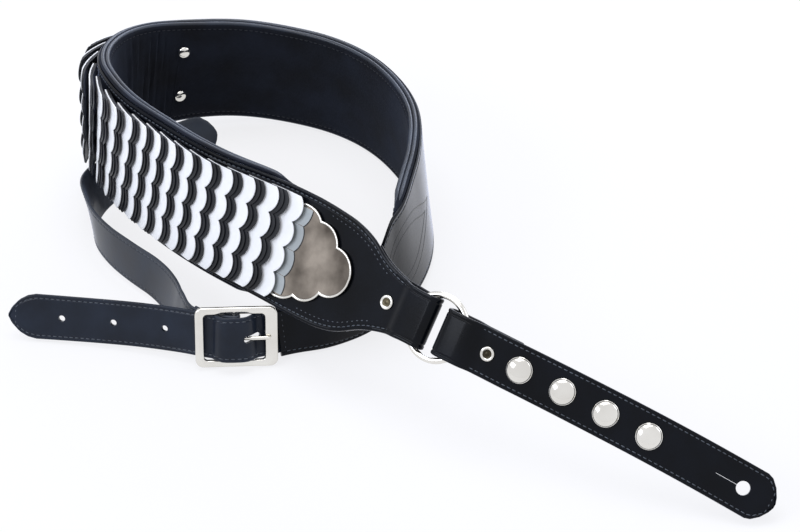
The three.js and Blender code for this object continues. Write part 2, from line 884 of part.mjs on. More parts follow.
function tailLeather() {
  const loop = wireRadius + ringReach * Math.sin(rad(swing.tailPlay)) + fit.gap
    + tail.leather / 2;
  const path = foldPath({
    bar: [loop + tail.leather / 2, 0],
    loop,
    back: -tailLayer,
    front: tailLayer,
    backEnd: tail.foldBack,
    loopEnd: foldLoopEnd,
    meet: foldMeet,
  });
  const tipStart = tailEnd - tail.tipLength;
  stations(foldMeet, tipStart, counts.tailStep * tail.width).slice(1).forEach((s) => {
    path.push([s, tailLayer]);
  });
  bluntTipShares.slice(0, -1).reverse().forEach(([share]) => {
    path.push([tailEnd - share * tail.tipLength, tailLayer]);
  });
  const half = tipHalf(bluntTipShares, tailHalf, tailEnd, tail.tipLength);
  const shape = ribbon(tailWay, path, tail.leather, half);
  const tools = [cutter(tailWay, tail.rivetPlace, 0, bore(rivet.shank), -fit.reach, fit.reach)];
  studPlaces().forEach((s) => {
    tools.push(cutter(tailWay, s, 0, bore(stud.shank), -fit.reach, fit.reach));
  });
  tools.push(cutter(tailWay, tail.toHole, 0, tail.hole, -fit.reach, fit.reach));
  const slitPlace = tail.toHole - tail.slit;
  tools.push(
    cutter(tailWay, slitPlace, 0, tail.slitWidth, -fit.reach, fit.reach, tail.slit),
  );
  return cut(shape, tools);
}

function studPlaces() {
  return Array.from({ length: counts.studs }, (_, i) => tail.studPlace + i * tail.studPitch);
}

// The billet

function billetRise(s) {
  const ramp = THREE.MathUtils.smoothstep(s, billet.rampStart, billet.rampEnd);
  const sewn = (leatherBack - fit.gap - fit.bend) * (1 - ramp);
  const aside = Math.abs(s - buckle.place);
  const down = THREE.MathUtils.smoothstep(aside, billet.overFlat, billet.overEnd);
  const over = barHigh + barRadius + buckle.prong + 2 * fit.gap + fit.bend + billet.leather;
  return sewn + over * (1 - down);
}

function billetStrip() {
  const tipStart = billet.end - billet.tipLength;
  const places = stations(billet.start, tipStart, counts.billetStep * billet.width);
  longTipShares.slice(0, -1).reverse().forEach(([share]) => {
    places.push(billet.end - share * billet.tipLength);
  });
  const path = places.map((s) => [s, billetRise(s) - billet.leather / 2]);
  const half = tipHalf(longTipShares, billetHalf, billet.end, billet.tipLength);
  const shape = ribbon(main, path, billet.leather, half);
  const tools = [
    cutter(main, rivet.farPlace, 0, bore(rivet.shank), -fit.reach, leatherFront),
    cutter(
      main,
      buckle.place - billet.prongHole - billet.prongSlot / 2,
      0,
      buckle.prong + 6 * fit.gap,
      -fit.reach,
      fit.reach,
      billet.prongSlot,
    ),
  ];
  for (let i = 0; i < billet.holes; i += 1) {
    const s = billet.firstHole + i * billet.holePitch;
    tools.push(cutter(main, s, 0, billet.hole, -fit.reach, fit.reach));
  }
  return cut(shape, tools);
}

// The buckle: frame with its middle bar, prong and strap

const barFrame = main.frame(buckle.place, 0, 0);

function roundedLoop(low, high, half, corner, n) {
  const loop = [];
  const centres = [
    [high - corner, half - corner, 0], [low + corner, half - corner, 1],
    [low + corner, corner - half, 2], [high - corner, corner - half, 3],
  ];
  centres.forEach(([x, y, quarter]) => {
    for (let i = 0; i <= counts.corner; i += 1) {
      const angle = ((quarter + i / counts.corner) * Math.PI) / 2;
      loop.push([x + corner * Math.cos(angle), y + corner * Math.sin(angle), n]);
    }
  });
  return loop;
}

function buckleFrame() {
  const low = -windowHalf - buckle.bodyBar;
  const high = windowHalf + buckle.tipBar;
  const half = buckle.height / 2;
  const { bevel, corner, innerCorner } = buckle;
  const outer = (inset, n) =>
    roundedLoop(low + inset, high - inset, half - inset, corner - inset, n);
  const inner = (inset, n) =>
    roundedLoop(
      -windowHalf - inset,
      windowHalf + inset,
      half - buckle.rail + inset,
      innerCorner + inset,
      n,
    );
  const loops = [
    outer(0, frameBack), outer(0, frameFront - bevel), outer(bevel, frameFront),
    inner(bevel / 2, frameFront), inner(0, frameFront - bevel / 2), inner(0, frameBack),
  ];
  const shape = hoop(loops.map((loop) => loop.map((at) => new THREE.Vector3(...at))));
  const length = buckle.height - buckle.rail;
  const bar = new THREE.CylinderGeometry(barRadius, barRadius, length, counts.bar);
  bar.translate(0, 0, barHigh);
  return join([shape, bar]).applyMatrix4(barFrame);
}

// A round rod along a path of x and z
function rod(path, radius) {
  const rings = path.map(([x, z], i) => {
    const before = path[Math.max(i - 1, 0)];
    const after = path[Math.min(i + 1, path.length - 1)];
    const along = new THREE.Vector2(after[0] - before[0], after[1] - before[1]).normalize();
    return Array.from({ length: counts.rod }, (_, k) => {
      const angle = (2 * Math.PI * (k + 0.5)) / counts.rod;
      const up = radius * Math.sin(angle);
      return new THREE.Vector3(x - along.y * up, radius * Math.cos(angle), z + along.x * up);
    });
  });
  const loop = rings[0].map((point, k) => {
    const angle = (2 * Math.PI * (k + 0.5)) / counts.rod;
    return [Math.cos(angle), Math.sin(angle)];
  });
  return skin(rings, lidOf(loop));
}

function bucklePath() {
  const path = [];
  for (let i = 0; i <= counts.hook; i += 1) {
    const angle = rad(THREE.MathUtils.lerp(hookDegrees, 90, i / counts.hook));
    path.push([hookRadius * Math.cos(angle), barHigh + hookRadius * Math.sin(angle)]);
  }
  path.push([-buckle.prongReach, frameFront + fit.gap + buckle.prong / 2]);
  return path;
}

function bucklePiece() {
  return rod(bucklePath(), buckle.prong / 2).applyMatrix4(barFrame);
}

function buckleStrap() {
  const top = -tab.leather / 2;
  const path = foldPath({
    bar: [0, tabBarHigh],
    loop: tabLoop,
    back: top - tab.leather - fit.gap,
    front: top,
    backEnd: tab.foldBack,
    loopEnd: buckle.slot / 2,
    meet: tab.foldBack / 2,
  });
  const tipStart = tab.length - tab.tipLength;
  stations(tab.foldBack / 2, tipStart, counts.tailStep * tab.width).slice(1).forEach((s) => {
    path.push([s, top]);
  });
  bluntTipShares.slice(0, -1).reverse().forEach(([share]) => {
    path.push([tab.length - share * tab.tipLength, top]);
  });
  const half = tipHalf(bluntTipShares, tabHalf, tab.length, tab.tipLength);
  const shape = ribbon(tabWay, path, tab.leather, half);
  const hole = tab.length - tab.holeToTip;
  return cut(shape, [
    cutter(tabWay, hole, 0, tab.hole, -fit.reach, fit.reach),
    cutter(tabWay, hole - tab.slit, 0, tail.slitWidth, -fit.reach, fit.reach, tab.slit),
    cutter(
      tabWay,
      -buckle.slot,
      0,
      buckle.prong + 6 * fit.gap,
      -2 * fit.reach,
      fit.reach,
      2 * buckle.slot,
    ),
  ]);
}

// The finished part

const looks = {
  leather: [0x1b1f27, 0.42, 0],
  vinyl: [0xeef1f8, 0.35, 0],
  nickel: [0xc9c6c0, 0.18, 1],
  mirror: [0x8d8885, 0.12, 1],
  lining: [0x15161a, 0.9, 0],
  foam: [0x2a2a2c, 0.95, 0],
};

const group = new THREE.Group();
group.name = "shoulder_strap";

function add(name, shape, [color, roughness, metalness]) {
  const plain = new THREE.BufferGeometry();
  plain.setAttribute("position", shape.getAttribute("position"));
  plain.setIndex(shape.getIndex());
  const made = mergeVertices(plain, fit.gap / 300);
  made.computeVertexNormals();
  const material = new THREE.MeshStandardMaterial({ color, roughness, metalness });
  const mesh = new THREE.Mesh(made, material);
  mesh.name = name;
  group.add(mesh);
}

add("face_leather", faceLeather(), looks.leather);
add("foam_padding", foamPadding(), looks.foam);
add("padded_lining", paddedLining(), looks.lining);
add("front_plate", facePlate(plate.frontPlace, 1), looks.mirror);
add("rear_plate", facePlate(plate.rearPlace, -1), looks.mirror);
screwPlaces.forEach((place) => {
  add(`plate_screw_${place.name}`, screwShape(place), looks.nickel);
});
for (let row = 0; row < scale.rows; row += 1) {
  add(`scale_underlay_${row + 1}`, scaleRow(row, underProfile), looks.leather);
  add(`scale_row_${row + 1}`, scaleRow(row, whiteProfile), looks.vinyl);
}
add("near_ring", nearRing(), looks.nickel);
const backLayer = ringHigh - fit.gap / 2 - body.leather;
add("body_rivet", rivetShape(main, rivet.bodyPlace, backLayer, leatherFront), looks.nickel);
add("tail_leather", tailLeather(), looks.leather);
add("tail_rivet", rivetShape(tailWay, tail.rivetPlace, -tailHigh, tailHigh), looks.nickel);
studPlaces().forEach((s, i) => {
  add(`tail_stud_${i + 1}`, studShape(s, fit.gap / 2, tailHigh), looks.nickel);
});
add("billet", billetStrip(), looks.leather);
const billetBack = leatherBack - fit.gap - fit.bend - billet.leather;
add("far_rivet", rivetShape(main, rivet.farPlace, billetBack, leatherFront), looks.nickel);
add("buckle_frame", buckleFrame(), looks.nickel);
add("buckle_prong", bucklePiece(), looks.nickel);
add("buckle_strap", buckleStrap(), looks.leather);

// The origin is the middle of the underside of the whole part.
const box = new THREE.Box3().setFromObject(group);
const middle = box.getCenter(new THREE.Vector3());
group.children.forEach((mesh) => {
  mesh.geometry.translate(-middle.x, -middle.y, -box.min.z);
});

export default group;
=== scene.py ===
# A padded leather shoulder strap for an instrument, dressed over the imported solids.
# Every piece is drawn on the flat strap as s, v and n in millimetres: along the strap,
# across it and out of its face. A route then lays it in space.
from functools import lru_cache
from math import acos, asin, atan2, cos, degrees, hypot, pi, radians, sin, sqrt
from types import SimpleNamespace as Sizes

import bmesh
import bpy
import numpy as np
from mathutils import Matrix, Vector


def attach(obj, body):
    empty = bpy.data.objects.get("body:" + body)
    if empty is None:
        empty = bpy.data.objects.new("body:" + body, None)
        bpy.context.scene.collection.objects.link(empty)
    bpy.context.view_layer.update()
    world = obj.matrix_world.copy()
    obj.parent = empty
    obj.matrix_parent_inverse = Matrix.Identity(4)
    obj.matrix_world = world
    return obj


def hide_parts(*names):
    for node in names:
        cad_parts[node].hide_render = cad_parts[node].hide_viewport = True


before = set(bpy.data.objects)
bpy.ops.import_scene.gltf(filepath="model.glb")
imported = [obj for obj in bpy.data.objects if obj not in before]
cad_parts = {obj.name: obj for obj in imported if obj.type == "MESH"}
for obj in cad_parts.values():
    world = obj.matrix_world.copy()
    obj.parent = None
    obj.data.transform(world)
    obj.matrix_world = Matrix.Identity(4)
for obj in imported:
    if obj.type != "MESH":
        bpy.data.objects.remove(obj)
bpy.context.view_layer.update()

MM = 0.001
# How far the pack moved the solids, in millimetres
FRAME_SHIFT = (14.919059753417969, 31.60211181640625, 1.9991512298583984)

# ---- sizes in millimetres

GAP = 0.3
BODY = Sizes(width=80, face_end=831.5, leather=2.4, inset=2, skin=1.2, foam=3.8, neck=33.6,
             flare=105, pad_start=126, pad_end=745, pad_ramp=24, fold_back=55,
             taper_start=748, taper_length=50)
RING = Sizes(inside=36, wire=4, to_fold=3.2, pinch=9, taper=9)
TAIL = Sizes(to_hole=202.8, leather=2.6, fold_back=50.5, tip=12, hole_to_tip=21, hole=8.5,
             slit=18, rivet=34, stud=55.4, stud_pitch=28.4, studs=4)
STUD = Sizes(width=16, height=4, skirt=0.8, shank=3)
RIVET = Sizes(width=9, height=0.8, shank=3.6, body=34, far=788)
SCALE = Sizes(rows=16, per_row=4, width=17, bulge=4.4, pitch=15.7, skin=0.8, step=3.1,
              overlap=6, first=116, flare=2.5, first_rise=0.3, second_droop=1.5)
PLATE = Sizes(thick=1.3, lobes=((16.2, 0, 16.2), (31.9, 10.6, 15.5), (47.4, 15.1, 16.2)),
              length=61, front=62.8, rear=456.2, screw_reach=47.2, screw_aside=18, shank=4,
              head=9, head_high=2.2, tip_degrees=8, scallops=46.2, scallops_end=57,
              scallop_share=0.66)
BILLET = Sizes(width=30, leather=2.4, start=766, end=1011, ramp=(800, 838), tip=18, hole=4.2,
               first=908, pitch=34, holes=3, prong_hole=10.9, prong_slot=8, over=(6, 16))
BUCKLE = Sizes(place=861, height=40, rail=4.5, body_bar=8, tip_bar=5.5, window=38.5,
               thick=3, corner=5, inner_corner=2.5, bar=3.2, prong=2.6, reach=23, slot=7)
TAB = Sizes(leather=2, way=338, length=308, fold_back=34, tip=12, hole_to_tip=15, hole=4.5,
            slit=9)
SLIT_WIDTH = 0.25
PRONG_SLOT = BUCKLE.prong + 6 * GAP
LINING = Sizes(flat=34, proud=0.3, front=6.8, narrow=18, pinch=9, wrinkles=(352, 404),
               wrinkle_fade=10)
# Two rolls of piping: place beside the body's edge, height and radius
PIPING = ((0.05, 5.6, 1.5), (-0.1, 2.5, 1.6))
# A stitch: each of its rows holds the place along it, the size and the height
STITCH = Sizes(long=2.6, pitch=3.6, thick=0.4, sunk=0.3,
               rows=((-0.5, 0.25, -0.5), (-0.38, 0.85, -0.12), (0, 1, 0.1),
                     (0.38, 0.85, -0.12), (0.5, 0.25, -0.5)))
# How far in from the edge each seam lies, and where it starts and ends
SEAM = Sizes(strap=2.6, face=3, neck=6.2, lining=4.3, face_start=13, neck_span=(40, 96),
             lining_span=(131, 740), tail_start=14, billet_start=822, tab_start=18)
CROSS_SEAM = Sizes(place=405, lean=2.5 / 34, half=33, width=1.6, high=0.35)
SLANT_CREASE = Sizes(start=(427, -5), end=(462, 22), width=1.1, high=0.18)
DROP = Sizes(tip=690, widest=738, end=755, half=17, outer=7, width=0.9, high=0.16)
# The swing that the folds leave the ring, and how far ring and tail lean at rest
PLAY = radians(8)
RING_LEAN = TAIL_LEAN = radians(4)
TAB_LEAN = radians(23)

# The routes: a start, a heading, and a turn in degrees for each stretch
STRETCH_STEPS = 26
MAIN_START = (7.2, -156.1)
MAIN_HEADING = 139.3
MAIN_STRETCH = 52
MAIN_TURNS = (-1.3, 0.2, -0.7, -6.8, -10.3, -17.3, -40, -37.9, -29.7, -24.2,
              -26.9, -19.6, -14.8, -24.8, -37.4, 6.7, -55.2, 9.7, 4.8, 1.4)
# Along the route, as shares of its length: lean, and height as a share of the width
MAIN_LEAN = ((0, 37.5), (0.058, 33.9), (0.115, 31.7), (0.173, 20.9), (0.231, 15.7),
             (0.288, 6), (0.346, -0.8), (0.413, 2.7), (0.5, 2.4), (0.596, 3), (0.673, 8.5),
             (0.72, 2), (0.75, -6), (0.775, 8), (0.795, 20), (0.81, 20), (0.825, 18),
             (0.86, 18), (0.92, 19), (0.97, 23), (1, 24))
MAIN_LIFT = ((0, 0.37), (0.058, 0.37), (0.115, 0.376), (0.173, 0.356), (0.231, 0.322),
             (0.288, 0.31), (0.336, 0.236), (0.385, 0.114), (0.43, 0.05), (0.485, 0),
             (0.765, 0), (0.79, 0.014), (0.81, 0.042), (0.828, 0.056), (0.85, 0.053),
             (0.88, 0.03), (0.92, 0.008), (0.95, 0), (1, 0))
TAIL_TURNS = (2.2, 6.8, 0.8, 0.7, 0.7, 0.7, 0.7, 0.7, 0.7)
TAIL_LEANS = ((0, 0), (0.08, 0), (0.2, -3), (0.55, 1.5), (0.9, 5.5), (1, 6.5))
TAIL_DROP = ((0, 0), (0.08, 0), (0.2, 7.2), (0.55, 12), (0.9, 17.2), (1, 18))
TAB_TURNS = (-12, -46, 13.9, 18, -5.7, -12.8, -28, -28, -12, -10, -8, -2, 0)
TAB_FADE = ((0, 1), (0.07, 1), (0.18, 0), (1, 0))
TAB_LEANS = ((0, 0), (0.07, 0), (0.18, 12), (0.3, 10), (0.4, 6), (0.53, -8), (0.62, -40),
             (0.68, -60), (0.79, -56), (0.85, -40), (0.9, -28), (1, -20))
SHORT_STRETCH = 26
BLUNT_TIP = ((0, 0.12), (0.1, 0.34), (0.35, 0.66), (0.7, 0.92), (1, 1))
LONG_TIP = ((0, 0.08), (0.12, 0.36), (0.4, 0.72), (0.7, 0.92), (1, 1))
NECK_FLARE = ((0, 0), (0.14, 0), (0.28, 0.08), (0.43, 0.32), (0.57, 0.7), (0.71, 0.9),
              (0.86, 0.97), (1, 1))
# How far each row stands out, from the first to the last: most where the strap bends most
ROW_FLARE = ((0, 0), (0.5, 0), (0.75, 0.35), (0.85, 0.75), (0.93, 1), (1, 1))
PAD_PINCH = 0.45
# The lining's section: half of its back, then its edge as distance in and height
LINING_BACK = ((10, 0), (20, 0), (28, 0.02))
LINING_EDGE = ((7.2, 0.1), (5.4, 0.35), (4.6, 0.75), (3.8, 0.3), (2.2, 0.25), (0.9, 1.1),
               (0.2, 2.6), (0, 4.4), (0.1, 6.4), (0.5, 7.7), (1.05, 8.25), (1.6, 8.05),
               (1.95, 7.4), (2.2, 6.85), (8, 6.8))
# A plate's rim from its outer edge in: distance in, and height over the field
PLATE_RIM = ((0, 0.15), (0.12, 0.42), (0.4, 0.57), (0.75, 0.6), (1.1, 0.54), (1.35, 0.4),
             (1.55, 0.2), (1.7, 0))

# Sizes worked out from those above

WIRE = RING.wire / 2
RING_RADIUS = (RING.inside + RING.wire) / 2
BODY_HALF = BODY.width / 2
NECK_HALF = BODY.neck / 2
STRAP_HALF = BILLET.width / 2
LEATHER_BACK = 2 * BODY.skin + BODY.foam + 3 * GAP
LEATHER_FRONT = LEATHER_BACK + BODY.leather
LEATHER_MIDDLE = LEATHER_BACK + BODY.leather / 2
LINER_FRONT = LEATHER_BACK - GAP
TAPER_END = BODY.taper_start + BODY.taper_length
RING_REACH = RING_RADIUS - RING.to_fold - RING.pinch
LOOP_END = RING_RADIUS - RING.to_fold + WIRE + GAP
FOLD_MEET = LOOP_END + RING.taper
RING_HIGH = LEATHER_MIDDLE - (BODY.leather + GAP) / 2
TAIL_END = TAIL.to_hole + TAIL.hole_to_tip
TAIL_LAYER = (TAIL.leather + GAP) / 2
MAIN_LENGTH = MAIN_STRETCH * len(MAIN_TURNS)
TAIL_STUDS = [TAIL.stud + i * TAIL.stud_pitch for i in range(TAIL.studs)]


# ---- routes

def smooth(x, low, high):
    """From 0 to 1 between two places, level at both ends."""
    u = min(max((x - low) / (high - low), 0), 1)
    return u * u * (3 - 2 * u)


def mix(a, b, share):
    return a + (b - a) * share


def unit(vector):
    return vector / np.linalg.norm(vector)


def circle(count):
    """Even angles round a circle."""
    return np.linspace(0, 2 * pi, count, endpoint=False)


def read_smooth(table, x):
    """A table of pairs as one smooth curve."""
    last = len(table) - 1
    if x <= table[0][0]:
        return table[0][1]
    if x >= table[last][0]:
        return table[last][1]
    i = next(k for k, pair in enumerate(table) if pair[0] > x) - 1

    def slope(k):
        a, b = table[max(k - 1, 0)], table[min(k + 1, last)]
        return (b[1] - a[1]) / (b[0] - a[0])

    (x0, y0), (x1, y1) = table[i], table[i + 1]
    reach = x1 - x0
    u = (x - x0) / reach
    left = y0 * (1 + 2 * u) * (1 - u) ** 2 + slope(i) * reach * u * (1 - u) ** 2
    return left + y1 * (3 - 2 * u) * u ** 2 - slope(i + 1) * reach * (1 - u) * u ** 2


def read_straight(table, x):
    return float(np.interp(x, [pair[0] for pair in table], [pair[1] for pair in table]))


class Route:
    """A way through space. Its base line lies edge(s) below the middle of the strap."""

    def __init__(self, start, heading, stretch, turns, lean, slope, edge, side=1):
        self.heading, self.stretch, self.turns = heading, stretch, turns
        self.lean, self.slope, self.edge, self.side = lean, slope, edge, side
        self.length = stretch * len(turns)
        self.step = stretch / STRETCH_STEPS
        self.axes = lru_cache(maxsize=None)(self.find_axes)
        points = [np.array(start, float)]
        for i in range(round(self.length / self.step)):
            points.append(points[-1] + self.axes((i + 0.5) * self.step)[0] * self.step)
        self.points = np.array(points)

    def heading_at(self, s):
        place = min(max(s / self.stretch, 0), len(self.turns))
        whole = min(int(place), len(self.turns) - 1)
        done = sum(self.turns[:whole]) + self.turns[whole] * (place - whole)
        return radians(self.heading + done)

    def find_axes(self, s):
        heading, slope, lean = self.heading_at(s), self.slope(s), radians(self.lean(s))
        ch, sh, cs, ss = cos(heading), sin(heading), cos(slope), sin(slope)
        along = np.array([ch * cs, sh * cs, ss])
        out = np.array([-sh, ch, 0]) * self.side
        up = np.array([-ch * ss, -sh * ss, cs])
        across = up * cos(lean) - out * sin(lean)
        return along, across, out * cos(lean) + up * sin(lean)

    def base(self, s):
        inside = min(max(s, 0), self.length)
        place = inside / self.step
        i = min(int(place), len(self.points) - 2)
        point = self.points[i] * (1 - (place - i)) + self.points[i + 1] * (place - i)
        return point + self.axes(inside)[0] * (s - inside)

    def point(self, s, v, n):
        s = round(float(s), 4)
        _, across, out = self.axes(s)
        return self.base(s) + across * (v + self.edge(s)) + out * n

    def frame(self, s, v, n):
        """Lays x along the strap, y across it and z out of its face."""
        along = unit(self.point(s + self.step, v, n) - self.point(s - self.step, v, n))
        across = self.axes(round(float(s), 4))[1] * (-1 if self.side > 0 else 1)
        out = unit(np.cross(along, across))
        return np.column_stack([along, np.cross(out, along), out]), self.point(s, v, n)


def far_share(s):
    """How far the body has narrowed towards its far end."""
    return smooth(s, BODY.taper_start, TAPER_END)


def leather_half(s):
    near = mix(NECK_HALF, BODY_HALF - BODY.inset, read_smooth(NECK_FLARE, s / BODY.flare))
    return mix(near, NECK_HALF, far_share(s))


def main_slope(s):
    reach = MAIN_LENGTH / 200
    high = read_smooth(MAIN_LIFT, (s + reach) / MAIN_LENGTH)
    low = read_smooth(MAIN_LIFT, (s - reach) / MAIN_LENGTH)
    return asin((high - low) * BODY.width / (2 * reach))


main = Route((*MAIN_START, MAIN_LIFT[0][1] * BODY.width), MAIN_HEADING, MAIN_STRETCH,
             MAIN_TURNS, lambda s: read_smooth(MAIN_LEAN, s / MAIN_LENGTH), main_slope,
             lambda s: mix(BODY_HALF, STRAP_HALF, far_share(s)))


def angles_of(along, across, side):
    aside = np.array([-along[1], along[0], 0])
    aside *= side / np.linalg.norm(aside)
    lean = degrees(asin(-across @ aside))
    return degrees(atan2(along[1], along[0])), asin(along[2]), lean


def leaned(axes, forward, angle):
    """The way that leans from the strap's own line by an angle, towards its back."""
    return axes[0] * forward * cos(angle) - axes[2] * sin(angle)


RING_TO_AXIS = RING.pinch + RING.to_fold
fold_axes = main.axes(RING.pinch)
ring_along = leaned(fold_axes, -1, RING_LEAN)
ring_centre = main.point(RING.pinch, 0, RING_HIGH) + ring_along * RING_TO_AXIS
tail_along = leaned(fold_axes, -1, RING_LEAN + TAIL_LEAN)
tail_heading, tail_slope, tail_lean = angles_of(tail_along, fold_axes[1], -1)
TAIL_ROUTE = SHORT_STRETCH * len(TAIL_TURNS)
tail_way = Route(
    ring_centre + ring_along * RING_TO_AXIS - tail_along * RING.pinch, tail_heading,
    SHORT_STRETCH, TAIL_TURNS, lambda s: tail_lean + read_smooth(TAIL_LEANS, s / TAIL_ROUTE),
    lambda s: tail_slope - radians(read_smooth(TAIL_DROP, s / TAIL_ROUTE)), lambda s: 0, -1)

BAR_BEND = MAIN_STRETCH / radians(abs(MAIN_TURNS[int(BUCKLE.place / MAIN_STRETCH)]))
WINDOW_HALF = BUCKLE.window / 2
FRAME_BACK = GAP - WINDOW_HALF ** 2 / (2 * BAR_BEND)
FRAME_FRONT = FRAME_BACK + BUCKLE.thick
BAR_HIGH = FRAME_BACK + BUCKLE.thick / 2
BAR_RADIUS = BUCKLE.bar / 2
TAB_LOOP = BAR_RADIUS + GAP + TAB.leather / 2
TAB_BAR_HIGH = -TAB_LOOP - TAB.leather / 2
bar_axes = main.axes(BUCKLE.place)
tab_heading, tab_slope, tab_lean = angles_of(leaned(bar_axes, 1, TAB_LEAN), bar_axes[1], 1)


def tab_fade(s):
    return read_straight(TAB_FADE, s / TAB.way)


tab_way = Route(
    (0, 0, 0), tab_heading, SHORT_STRETCH, TAB_TURNS,
    lambda s: tab_lean * tab_fade(s) + read_smooth(TAB_LEANS, s / TAB.way),
    lambda s: tab_slope * tab_fade(s), lambda s: STRAP_HALF)
tab_way.points += main.point(BUCKLE.place, 0, BAR_HIGH) - tab_way.point(0, 0, TAB_BAR_HIGH)


# ---- meshes

SHARP_EDGE = 40


def in_scene(name, data):
    made = bpy.data.objects.new(name, data)
    bpy.context.scene.collection.objects.link(made)
    return made


def piece(name, points, faces, material, body="strap", stands_for=(), slot=None,
          sharp=SHARP_EDGE):
    """One closed piece from points in millimetres, smooth but for its sharp edges."""
    mesh = bpy.data.meshes.new(name)
    placed = (np.array(points, float).reshape(-1, 3) + FRAME_SHIFT) * MM
    mesh.from_pydata(placed.tolist(), [], [list(face) for face in faces])
    shape = bmesh.new()
    shape.from_mesh(mesh)
    bmesh.ops.remove_doubles(shape, verts=shape.verts, dist=2e-6)
    bmesh.ops.recalc_face_normals(shape, faces=shape.faces)
    shape.to_mesh(mesh)
    shape.free()
    mesh.shade_smooth()
    mesh.set_sharp_from_angle(angle=radians(sharp))
    mesh.materials.append(material)
    made = in_scene(name, mesh)
    if body:
        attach(made, body)
    if stands_for:
        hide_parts(*stands_for)
    return made


def skin(rings, closed=False):
    """Faces that join rings of points, with a lid at both ends unless the rings close."""
    count, many = len(rings[0]), len(rings)
    faces = []
    for i in range(many if closed else many - 1):
        here, there = i * count, ((i + 1) % many) * count
        for j in range(count):
            k = (j + 1) % count
            faces.append((here + j, here + k, there + k, there + j))
    if not closed:
        last = (many - 1) * count
        faces += [tuple(range(count))[::-1], tuple(range(last, last + count))]
    return [point for ring in rings for point in ring], faces


def merge(shapes):
    """Several shapes of points and faces as one."""
    points, faces = [], []
    for some, joined in shapes:
        faces += [tuple(i + len(points) for i in face) for face in joined]
        points += list(some)
    return points, faces


def stations(start, end, step):
    return np.linspace(start, end, max(2, round(abs(end - start) / step) + 1)).tolist()


def strip_section(thick, crease, deep):
    """A strap's section as side, distance from its edge, share and height: rounded and
    burnished edges, and a crease pressed along each edge for the stitches."""
    half, edge = thick / 2, 0.8
    front = [(edge, 1, half)]
    front += [(crease + aside, 1, half - deep * share)
              for aside, share in ((-0.8, 0), (-0.35, 0.8), (0, 1), (0.35, 0.8), (0.8, 0))]
    front += [(crease + 1.2, share, half) for share in (1, 0.7, 0.35)]
    back = [(edge, 1, -half), (crease + 1.2, 1, -half), (crease + 1.2, 0.5, -half)]
    turn = [(edge * (1 - cos(a)), 1, half * sin(a)) for a in np.radians([60, 30, 0, -30, -60])]
    section = [(-1, *p) for p in front] + [(0, 0, 0, half)]
    section += [(1, *p) for p in front[::-1]] + [(1, *p) for p in turn]
    section += [(1, *p) for p in back] + [(0, 0, 0, -half)]
    section += [(-1, *p) for p in back[::-1]] + [(-1, *p) for p in turn[::-1]]
    return section


def with_directions(path):
    """The points of a path, each with the path's direction there."""
    along = np.gradient(np.array(path), axis=0)
    return list(zip(path, along / np.linalg.norm(along, axis=1)[:, None]))


def mirrored(side):
    """The other half of an outline, from its end back to its start."""
    return [(a, -b) for a, b in side[::-1]]


def strip(way, path, section, half_at):
    """A strap along a path of s and n. Each section point leans with the path."""
    rings = []
    for (s, n), (ds, dn) in with_directions(path):
        half = half_at(s)
        rings.append([way.point(s - dn * up, side * max(half - inset, 0) * share, n + ds * up)
                      for side, inset, share, up in section])
    return skin(rings)


def fold_path(bar, loop, back, front, back_end, loop_end, meet):
    """The path of a fold round a bar, from the end of its back layer to its front layer."""
    s, n = bar
    path = [(at, back) for at in stations(back_end, meet, 3)]
    for share in (0.25, 0.5, 0.75):
        path.append((mix(meet, loop_end, share), mix(back, n - loop, smooth(share, 0, 1))))
    path.append((loop_end, n - loop))
    path += [(mix(loop_end, s, share), n - loop) for share in (0.33, 0.66)]
    for angle in np.linspace(-pi / 2, -1.5 * pi, 21):
        path.append((s + loop * cos(angle), n + loop * sin(angle)))
    path += [(mix(s, loop_end, share), n + loop) for share in (0.33, 0.66, 1)]
    for share in (0.25, 0.5, 0.75, 1):
        path.append((mix(loop_end, meet, share), mix(n + loop, front, smooth(share, 0, 1))))
    return path


def ring_fold(leather, high, front, fold_back):
    """The path of a leather's fold round the ring, whose wire lies this high."""
    loop = WIRE + RING_REACH * sin(PLAY) + GAP + leather / 2
    return fold_path((loop + leather / 2, high), loop, high - (leather + GAP) / 2, front,
                     fold_back, LOOP_END, FOLD_MEET)


def tip_half(table, half, end, tip):
    """Half the width of a strap, which narrows by a table over its tip."""
    return lambda s: half * read_straight(table, (end - s) / tip)


def straight_path(start, end, tip, n, step):
    """A strap's path from a place to its end, in closer steps over its tip."""
    return [(s, n) for s in stations(start, end - tip, step)] + [
        (end - share * tip, n)
        for share in (0.85, 0.7, 0.55, 0.45, 0.35, 0.28, 0.22, 0.16, 0.1, 0.06, 0.03, 0)]


def turned(way, s, v, profile, around=40):
    """A turned shape on the strap, from pairs of radius and height."""
    axes, centre = way.frame(s, v, 0)
    rings = []
    for angle in circle(around):
        rings.append([centre + axes @ (r * cos(angle), r * sin(angle), h) for r, h in profile])
    count = len(profile)
    faces = []
    for i in range(around):
        here, there = i * count, ((i + 1) % around) * count
        faces += [(here + j, here + j + 1, there + j + 1, there + j) for j in range(count - 1)]
    return [point for ring in rings for point in ring], faces


def dome(radius, low, high):
    """The profile of a dome from its edge to its top."""
    return [(radius * cos(a), low + (high - low) * sin(a)) for a in np.linspace(0, pi / 2, 14)]


def cutter(way, s, v, width, reach=0, deep=15):
    """A straight cutter through a strap: a round, or a slot that reaches along it."""
    axes, centre = way.frame(s, v, 0)
    loop = []
    for angle in circle(32) + 0.1:
        ahead = reach if cos(angle) > 0 else 0
        loop.append((width / 2 * cos(angle) + ahead, width / 2 * sin(angle)))
    return skin([[centre + axes @ (x, y, n) for x, y in loop] for n in (-deep, deep)])


def button_hole(way, at, hole, slit):
    """Cutters for a strap button's round hole and the fine slit behind it."""
    return [cutter(way, at, 0, hole), cutter(way, at - slit, 0, SLIT_WIDTH, slit)]


